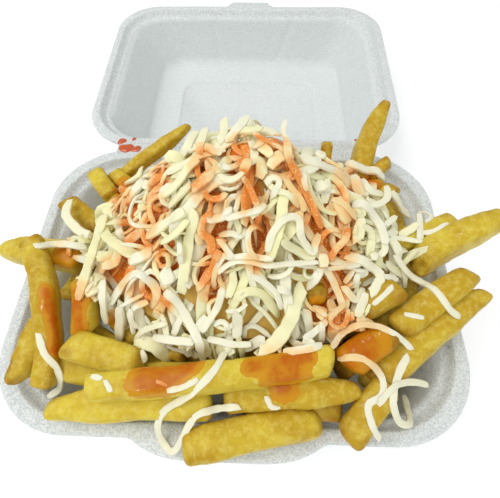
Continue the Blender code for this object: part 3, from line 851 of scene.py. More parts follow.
def add_fry(tubes, draw, start, end, width, height, bow, pointed=(0, 0), browned=0.0, kind="loose"):
    """A stick from end to end, cut at a slant, blunt or pointed at its ends."""
    start, end = np.array(start, float), np.array(end, float)
    length = np.linalg.norm(end - start)
    share = 0.5 + 0.5 * np.sin(math.pi / 2 * np.linspace(-1, 1, FRY_RINGS[kind]))
    line = fry_line(draw, start, end, bow, share)
    size = fry_size(line, share, DOMED_LENGTH * width / length, pointed)
    sides, aboves = frames_along(line, draw.uniform(-0.12, 0.12) + draw.uniform(-0.2, 0.2) * share)
    across, over = section(FRY_SIDES, FRY_SQUARENESS)
    wide = across[None, :] * (size * width / 2)[:, None]
    tall = over[None, :] * (size * height / 2)[:, None]
    slant = [draw.uniform(-SLANT, SLANT) for _ in range(4)]
    near = np.clip(1 - share * length / width, 0, 1)[:, None]
    far = np.clip(1 - (1 - share) * length / width, 0, 1)[:, None]
    shift = near * (slant[0] * wide + slant[1] * tall) + far * (slant[2] * wide + slant[3] * tall)
    rings = tube_rings(line, sides, aboves, wide, tall) + (end - start) / length * shift[..., None]
    blister(rings, line)
    tip = np.maximum(near[:, 0], far[:, 0])
    corner = np.tile(np.abs(2 * across * over / (across ** 2 + over ** 2)) ** 4, (len(line), 1))
    tubes.add(rings, tip=tip, tone=draw.uniform(0, 1), browned=browned, corner=corner)


# %% [markdown]
# The solids place eleven loose fries round the heap's hidden sides by a seeded draw. The same draw
# here gives the same places. Smaller ones then fill the slope between them and the tray's wall.

# %% The heap's rule
HEAP_CENTRE = np.array((4.0, 4.0))
HEAP_RADII = np.array((70.0, 49.0))
HEAP_TOP = 92.0
HEAP_SKIRT = 46.0
HEAP_SLOPE = 1.3
HEAP_LEAN = 22.0
CORE_WAIST = ((0.72, 4.4), (0.85, 20.0), (0.95, 36.0), (0.96, 41.0))
CHEESE_EDGE = 0.88
CHEESE_THICKNESS = (10.0, 2.0)


def heap_point(rho, angle, height):
    """A point of the heap, which leans back as it rises."""
    y_centre = HEAP_CENTRE[1] + HEAP_LEAN * (1 - rho)
    return np.array((HEAP_CENTRE[0] + HEAP_RADII[0] * rho * math.cos(angle),
                     y_centre + HEAP_RADII[1] * rho * math.sin(angle), height))


def cheese_top(rho):
    return HEAP_SKIRT + (HEAP_TOP - HEAP_SKIRT) * (1 - rho ** HEAP_SLOPE)


def fries_top(rho):
    middle, edge = CHEESE_THICKNESS
    share = min(1.0, (rho / CHEESE_EDGE) ** 2)
    return cheese_top(rho) - middle * (1 - share) - edge * share


print("heap", 2 * HEAP_RADII, "mm in plan,", HEAP_TOP, "mm high")

# %% Loose fries
FRIES_SEED = 3
LOOSE_FRIES = 11
LOOSE_ARC = (-0.12 * math.pi, 1.02 * math.pi)
LOOSE_LIMIT = np.array((72.0, 50.0))
LOOSE_LEVEL = (37.5, 42.0)
SIDE_DROP = 7.0
FILLERS = 46
FILLER_LEVEL = (14.0, 44.0)
FILLER_LOWEST = 11.0
FILLER_SEED = 17


def lying(draw, angle, spread, lengths, tilt):
    """Half a fry that lies along the heap's skirt, as a vector from its middle."""
    tangent = heap_point(1.0, angle + 0.05, 0.0) - heap_point(1.0, angle - 0.05, 0.0)
    heading = math.atan2(tangent[1], tangent[0]) + draw.uniform(-spread, spread)
    half = draw.uniform(*lengths) / 2
    return np.array((math.cos(heading), math.sin(heading), draw.uniform(-tilt, tilt))) * half


def add_loose_fries(tubes, draw, look):
    """The fries along the skirt on the hidden sides."""
    for index in range(LOOSE_FRIES):
        angle = LOOSE_ARC[0] + (LOOSE_ARC[1] - LOOSE_ARC[0]) * (index + 0.5) / LOOSE_FRIES
        level = draw.uniform(*LOOSE_LEVEL) - SIDE_DROP * abs(math.cos(angle))
        middle = heap_point(draw.uniform(0.99, 1.06), angle, level)
        reach = lying(draw, angle, 0.5, (36.0, 56.0), 0.12)
        width = draw.uniform(9.0, 12.0)
        ends = [middle - reach, middle + reach]
        for end in ends:
            end[:2] = np.clip(end[:2], -LOOSE_LIMIT, LOOSE_LIMIT)
        bow = draw.uniform(-1.5, 1.5)
        add_fry(tubes, look, *ends, width, width, bow, (look.random() < 0.3, look.random() < 0.3))


def add_fillers(tubes, draw):
    """Fries that lie on the core's flank, in the gaps and down towards the tray's floor."""
    for index in range(FILLERS):
        angle = 2 * math.pi * (index + draw.uniform(-0.3, 0.3)) / FILLERS * 3
        level = draw.uniform(*FILLER_LEVEL)
        rho = np.interp(level, [z for _, z in CORE_WAIST], [share for share, _ in CORE_WAIST])
        middle = heap_point(rho - 0.02, angle, level)
        reach = lying(draw, angle, 0.35, (24.0, 44.0), 0.3)
        width = draw.uniform(8.5, 11.0)
        wall = 0.5 * (BOX_HEIGHT - level) / BOX_HEIGHT * 20
        limit = np.array((76.0 - wall, 52.0 - 0.35 * wall))
        ends = [middle - reach, middle + reach]
        for end in ends:
            end[:2] = np.clip(end[:2], -limit, limit)
            end[2] = max(end[2], FILLER_LOWEST)
        bow = draw.uniform(-1.5, 1.5)
        add_fry(tubes, draw, *ends, width, width, bow, browned=draw.uniform(0, 0.3))


# %% [markdown]
# ## The fries' finish
# Fried potato is a clear yellow, golden to brown at edges and ends, with a thin film of oil. Where
# hot sauce lies it turns orange and glossy. The mask takes the kept nearness and frays it with
# noise, so the edge isn't a circle.

# %% Fries finish
FRY_YELLOW = linear(224, 200, 66)
FRY_GOLD = linear(196, 158, 38)
FRY_PALE = linear(240, 226, 124)
FRY_BROWN = linear(150, 96, 12)
SAUCE_THIN = linear(208, 140, 12)
SAUCE_DEEP = linear(190, 84, 0)


def sauce_mask(finish, low, high, soak=0.0):
    """The sauce's mask, with a frayed edge. Soak is how much more or less a shred took up."""
    fray = finish.noise(200.0, 4.0, 0.6)
    return (finish.kept("sauce") * (1 + soak) + 0.85 * (fray - 0.5)).between(low, high)


def fries_finish():
    finish = Finish("golden_fries", Specular_IOR_Level=0.12, Coat_Roughness=0.1, Subsurface_Weight=0.2,
                    Subsurface_Scale=1.0, Subsurface_Radius=(0.0016, 0.0009, 0.0003))
    clouds = finish.noise(110.0, 3.0, 0.55)
    fine = finish.noise(1100.0, 5.0, 0.65)
    crisp = finish.noise(420.0, 4.0, 0.6)
    golden = (clouds * 1.1 + finish.kept("tone") * 0.5).between(0.45, 1.0)
    colour = finish.blend(golden, FRY_YELLOW, FRY_GOLD)
    colour = finish.blend(crisp.between(0.42, 0.66) * 0.34, colour, FRY_PALE)
    colour = finish.blend(fine.between(0.5, 0.72) * 0.45, colour, FRY_GOLD)
    brown = finish.kept("browned") * 0.7 + finish.kept("tip") * clouds * 0.9 + fine * 0.25
    brown = brown + finish.kept("corner") * clouds * 0.55
    colour = finish.blend(brown.between(0.35, 1.15) * 0.75, colour, FRY_BROWN)
    wet = sauce_mask(finish, 0.38, 0.46)
    thick = sauce_mask(finish, 0.7, 1.15)
    colour = finish.blend(wet * 0.88, colour, SAUCE_THIN)
    colour = finish.blend(thick * 0.8, colour, SAUCE_DEEP)
    finish.set(Base_Color=colour, Roughness=0.46 - 0.16 * fine, Coat_Weight=0.04 + 0.1 * wet)
    finish.bump((fine + crisp * 1.2) * (1 - 0.6 * wet) + clouds * 1.5, 0.24 * MM, 0.7)
    return finish.material


FRIES_FINISH = fries_finish()

# %% Heap of fries
CORE_SIDES = 96
CORE_WAVE = 1.4
CORE_WAVE_SIZE = 9.0
LOOK_SEED = 11


def core_rings():
    """The bulk under the fries, a little inside the solid's."""
    rings = []
    angles = [2 * math.pi * i / CORE_SIDES for i in range(CORE_SIDES)]
    for rho, z in CORE_WAIST:
        rings.append([heap_point(rho, angle, z) for angle in angles])
    for rho in np.linspace(0.86, 0.02, 16):
        rings.append([heap_point(rho, angle, fries_top(rho) - 1.5) for angle in angles])
    rings = np.array(rings)
    for ring in rings:
        for point in ring:
            point[2] += CORE_WAVE * noise.noise(Vector(point) / CORE_WAVE_SIZE) if point[2] > 5 else 0.0
    return rings[::-1]


def heap_of_fries():
    tubes = Tubes()
    # The core is browner than a fry (browned 0.5, tip 0.6), so the gaps between the fries show a darker
    # golden brown. This is partly further fries deep in the heap and partly painted shade in those gaps.
    tubes.add(core_rings(), tip=0.6, tone=0.6, browned=0.5, corner=0.0)
    look = random.Random(LOOK_SEED)
    for name, (start, end, width, height, bow) in SHOWN_FRIES.items():
        pointed = POINTED_ENDS.get(name, (0, 0))
        add_fry(tubes, look, start, end, width, height, bow, pointed, BROWNED.get(name, 0.0), "shown")
    add_loose_fries(tubes, random.Random(FRIES_SEED), look)
    add_fillers(tubes, random.Random(FILLER_SEED))
    for start, end, width, height, bow in PEEKING_FRIES.values():
        add_fry(tubes, look, start, end, width, height, bow, browned=0.25)
    return tubes.piece("fries_heap", FRIES_FINISH)


fries_heap = heap_of_fries()
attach(fries_heap, "base")
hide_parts("fries")
print("fries heap", len(fries_heap.data.polygons), "faces")

# %% [markdown]
# ## Laying shreds
# Real shreds fall one after another, and each lies on those below. A height map does the same: it
# starts as the top of the fries and the cheese's core, a shred reads its heights, bridges the dips
# like a soft strip, and then raises the map along its way for the next one.


# %% Height map
class Pile:
    """Heights of the heap in mm over a grid, seen from above."""

    CELL = 0.5
    LOW = (-105.0, -80.0)
    SIZE = (430, 320)

    def __init__(self, tree):
        self.z = np.zeros(self.SIZE)
        down = Vector((0, 0, -1))
        for i in range(self.SIZE[0]):
            x = self.LOW[0] + self.CELL * (i + 0.5)
            for j in range(self.SIZE[1]):
                y = self.LOW[1] + self.CELL * (j + 0.5)
                hit = tree.ray_cast(Vector((x * MM, y * MM, 0.15)), down)[0]
                self.z[i, j] = hit.z / MM if hit else 0.0

    def cells(self, plan):
        spots = ((plan - self.LOW) / self.CELL).astype(int)
        return np.clip(spots, 3, np.array(self.SIZE) - 4)

    def height(self, plan):
        i, j = self.cells(plan).T
        return self.z[i, j]

    def under(self, plan, half):
        """What a strip of that half width rests on, along its line."""
        along = directions(plan)
        side = np.column_stack([-along[:, 1], along[:, 0]]) * half * 0.6
        rows = [self.height(plan), self.height(plan + side), self.height(plan - side)]
        return np.max(rows, axis=0)

    def raise_along(self, line, half, thickness):
        """Raises the map under a strip."""
        fine = []
        for a, b in zip(line, line[1:]):
            count = max(1, int(np.linalg.norm((b - a)[:2]) / self.CELL))
            fine += [a + (b - a) * i / count for i in range(count)]
        reach = max(1, round(half * 0.8 / self.CELL))
        for point, (i, j) in zip(fine, self.cells(np.array(fine)[:, :2])):
            patch = self.z[i - reach:i + reach + 1, j - reach:j + reach + 1]
            np.maximum(patch, point[2] + thickness * 0.35, out=patch)


# %% Cheese core
CORE_DROP = 5.0
EDGE_DROP = 1.6
CORE_RHO = 0.84
MOUND_WAVE = 1.2
MOUND_WAVE_SIZE = 6.0


def cheese_core_rings():
    """A low mound inside the cheese, for the shreds to lie on."""
    angles = [2 * math.pi * i / CORE_SIDES for i in range(CORE_SIDES)]
    rings = []
    for rho in np.linspace(0.02, CORE_RHO, 18):
        drop = CORE_DROP + (EDGE_DROP - CORE_DROP) * rho / CORE_RHO
        rings.append([heap_point(rho, angle, cheese_top(rho) - drop) for angle in angles])
    for rho in np.linspace(CORE_RHO, 0.02, 8):
        rings.append([heap_point(rho, angle, fries_top(rho) - 2.2) for angle in angles])
    rings = np.array(rings)
    for ring in rings[:18]:
        for point in ring:
            point[2] += MOUND_WAVE * noise.noise(Vector(point) / MOUND_WAVE_SIZE)
    return rings


# %% [markdown]
# ## The cheese's finish
# Two cheeses were grated together: a near-white one and a pale yellow one. Each shred keeps its own
# share of the two. The sauce tints it peach at the band's edge and orange in the middle, and wet
# cheese shines more. Tiny pale spots in the sauced parts are painted glints: bright colour put where
# light would sparkle on the wet cheese.

# %% Cheese finish
CHEESE_WHITE = linear(247, 243, 219)
CHEESE_YELLOW = linear(247, 242, 188)
CHEESE_PEACH = linear(252, 208, 144)
CHEESE_ORANGE = linear(238, 132, 28)
# Painted highlight: the pale yellow of the small glints painted on the sauced cheese.
CHEESE_PAINTED_GLINT = linear(255, 226, 150)
GAP_GOLD = linear(224, 184, 92)
GAP_ORANGE = linear(222, 116, 20)


def cheese_finish():
    finish = Finish("grated_cheese", Specular_IOR_Level=0.15, Coat_Roughness=0.08, Subsurface_Weight=0.3,
                    Subsurface_Scale=1.0, Subsurface_Radius=(0.0016, 0.0014, 0.0011))
    fine = finish.noise(700.0, 3.0, 0.55)
    clouds = finish.noise(60.0, 2.0, 0.5)
    share = finish.kept("yellow") * 0.85 + clouds * 0.15
    colour = finish.blend(share, CHEESE_WHITE, CHEESE_YELLOW)
    soak = finish.kept("soak")
    thin = sauce_mask(finish, 0.10, 0.55, soak)
    thick = sauce_mask(finish, 0.56, 1.1, soak)
    colour = finish.blend(thin * 0.85, colour, CHEESE_PEACH)
    colour = finish.blend(thick * 0.85, colour, CHEESE_ORANGE)
    gap = finish.blend(thin, GAP_GOLD, GAP_ORANGE)
    colour = finish.blend(finish.kept("deep"), colour, gap)
    # Painted glints: tiny noise spots, in the sauced parts only, turn the colour pale yellow where light
    # would sparkle. They also add a little bump.
    specks_and_painted_glints = finish.noise(1500.0, 2.0, 0.5).between(0.58, 0.64) * thin
    colour = finish.blend(specks_and_painted_glints * 0.65, colour, CHEESE_PAINTED_GLINT)
    finish.set(Base_Color=colour, Roughness=0.42 - 0.15 * thick, Coat_Weight=0.04 + 0.16 * thick)
    finish.bump(fine + specks_and_painted_glints * 0.6, 0.18 * MM, 0.5)
    return finish.material


CHEESE_FINISH = cheese_finish()
print("cheese finish ready")

# %% Shred shape
SHRED_SECTION = np.array(((1, 0.1), (0.9, 0.8), (0.6, 1), (-0.6, 1),
                          (-0.9, 0.8), (-1, 0.1), (-0.9, -1), (0.9, -1)))
RAGGED = 0.26
RAGGED_SIZE = 4.0
NOTCHED = 0.14
NOTCHED_SIZE = 1.3
TAPER_LENGTH = (0.4, 2.2)
TIP_SIZE = 0.66
CUT_SLANT = 1.5
SHRED_EDGE = 50.0


def hung(ground, sag):
    """Heights of a soft strip that bridges small dips in the ground."""
    heights = ground.copy()
    for _ in range(10):
        heights[1:-1] = np.maximum(ground[1:-1], (heights[:-2] + heights[2:]) / 2 - sag)
    return heights


def shred(tubes, line, width, thickness, yellow, soak=0.0, twist=0.0):
    """A strip of cheese along a line in mm: domed above, flat below, ragged, with slanted ends."""
    line = line.copy()
    line[1:-1] = 0.25 * line[:-2] + 0.5 * line[1:-1] + 0.25 * line[2:]
    share = np.linspace(0, 1, len(line))
    length = np.linalg.norm(np.diff(line, axis=0), axis=1).sum()
    mix = [0.5 + 0.9 * noise.noise(Vector(point) * 3) for point in (line[0], line[-1])]
    tapers = np.interp(mix, (0, 1), TAPER_LENGTH)
    worn = np.clip(np.minimum(share * length / tapers[0], (1 - share) * length / tapers[1]), 0, 1)
    size = TIP_SIZE + (1 - TIP_SIZE) * worn ** 0.7
    edges = []
    for shift in (0.0, 40.0):
        spots = [Vector(point) + Vector((shift, 0, 0)) for point in line]
        rough = [RAGGED * noise.noise(spot / RAGGED_SIZE) + NOTCHED * noise.noise(spot / NOTCHED_SIZE)
                 for spot in spots]
        edges.append(size * (1 + np.array(rough)))
    sides, aboves = frames_along(line, twist * share)
    across, over = SHRED_SECTION.T
    wide = np.where(across > 0, edges[0][:, None], edges[1][:, None]) * across * width / 2
    tall = (0.5 + 0.5 * worn)[:, None] * over * thickness / 2
    rings = tube_rings(line, sides, aboves, wide, tall)
    slants = [CUT_SLANT * noise.noise(Vector(point) * 5) for point in (line[0], line[-1])]
    slant = np.where(share < 0.5, *slants) * (1 - worn)
    rings += directions(line)[:, None, :] * (slant[:, None] * wide)[..., None]
    tubes.add(rings, yellow=yellow, soak=soak, deep=0.0)


def lay_shred(tubes, pile, plan, width, thickness, yellow, soak, twist, lift):
    """A shred along a plan line in mm, resting on the pile."""
    ground = pile.under(plan, width / 2) - 0.25
    heights = hung(ground, 0.05) + thickness / 2
    heights = heights + lift * np.linspace(0, 1, len(plan)) ** 2.5
    line = np.column_stack([plan, heights])
    shred(tubes, line, width, thickness, yellow, soak, twist)
    pile.raise_along(line, width / 2, thickness)


def smooth_line(points, step):
    """Points a step apart on a smooth curve through the given ones."""
    points = np.array(points, float)
    ends = np.vstack([2 * points[0] - points[1], points, 2 * points[-1] - points[-2]])
    line = [points[0]]
    for a, b, c, d in zip(ends, ends[1:], ends[2:], ends[3:]):
        parts = max(1, round(float(np.linalg.norm(c - b)) / step))
        for i in range(1, parts + 1):
            t = i / parts
            line.append(0.5 * (2 * b + (c - a) * t + (2 * a - 5 * b + 4 * c - d) * t ** 2
                               + (3 * b - a - 3 * c + d) * t ** 3))
    return np.array(line)


# %% [markdown]
# The drawn shreds come in three cuts: long ribbons, thin curly ones and short flakes. Each tries a
# few places and takes the one where the pile is lowest under the solid's own surface, so the heap
# fills up evenly to its true form.

# %% Drawn shreds
SHRED_TRIES = 2600
SHRED_SEED = 29
SHRED_STEP = 2.4
FINE_STEP = 1.6
PLACES_TRIED = 7
CUTS = (
    {"share": 0.5, "length": (24, 56), "width": (2.2, 4.2), "flat": 0.3, "curl": 0.1, "wander": 0.09},
    {"share": 0.4, "length": (16, 40), "width": (1.1, 2.2), "flat": 0.55, "curl": 0.34, "wander": 0.22},
    {"share": 0.1, "length": (6, 13), "width": (2.8, 4.8), "flat": 0.3, "curl": 0.15, "wander": 0.3},
)
CHEESE_MIDDLE = (4, 8)
CHEESE_REACH = (72, 50)
YELLOWS = (0.05, 0.15, 0.4, 0.7, 0.9, 1.0)
LIFTED_SHARE = 0.2
SOLID_TOP = Pile(HEAP_TREE)
MEAN_EXCESS = 0.4
MOST_EXCESS = 2.8


def drawn_place(pile, draw):
    """The emptiest of a few drawn places on the heap, and its direction from the top."""
    best = None
    for _ in range(PLACES_TRIED):
        rho = 0.9 * math.sqrt(draw.random())
        angle = draw.uniform(0, 2 * math.pi)
        x, y, _ = heap_point(rho, angle, 0.0)
        spot = np.array([(x, y)])
        lack = SOLID_TOP.height(spot)[0] - pile.height(spot)[0]
        if best is None or lack > best[0]:
            best = (lack, x, y, angle)
    return best


def drawn_shred(tubes, pile, draw):
    """One shred of a drawn cut."""
    cut = draw.choices(CUTS, [kind["share"] for kind in CUTS])[0]
    _, x, y, angle = drawn_place(pile, draw)
    length = draw.uniform(*cut["length"])
    width = draw.uniform(*cut["width"])
    heading = angle + draw.gauss(0, 0.9)
    curl = draw.gauss(0, cut["curl"])
    plan = [(x, y)]
    travelled = 0.0
    height = pile.height(np.array(plan))[0]
    while travelled < length:
        x += SHRED_STEP * math.cos(heading)
        y += SHRED_STEP * math.sin(heading)
        heading += curl + draw.gauss(0, cut["wander"])
        after = pile.height(np.array([(x, y)]))[0]
        travelled += math.hypot(SHRED_STEP, min(abs(after - height), 8.0))
        height = after
        beside = (np.array((x, y)) - CHEESE_MIDDLE) / CHEESE_REACH
        if math.hypot(*beside) > 0.98 or after < BOX_HEIGHT:
            break
        plan.append((x, y))
    if len(plan) < 3:
        return False
    plan = smooth_line(plan, FINE_STEP)
    excess = pile.height(plan) - SOLID_TOP.height(plan)
    if excess.mean() > MEAN_EXCESS or excess.max() > MOST_EXCESS:
        return False
    lift = draw.uniform(1, 5) if draw.random() < LIFTED_SHARE else 0.0
    yellow = draw.choice(YELLOWS)
    soak = draw.gauss(0, 0.28)
    twist = draw.uniform(-0.9, 0.9)
    lay_shred(tubes, pile, plan, width, width * cut["flat"], yellow, soak, twist, lift)
    return True


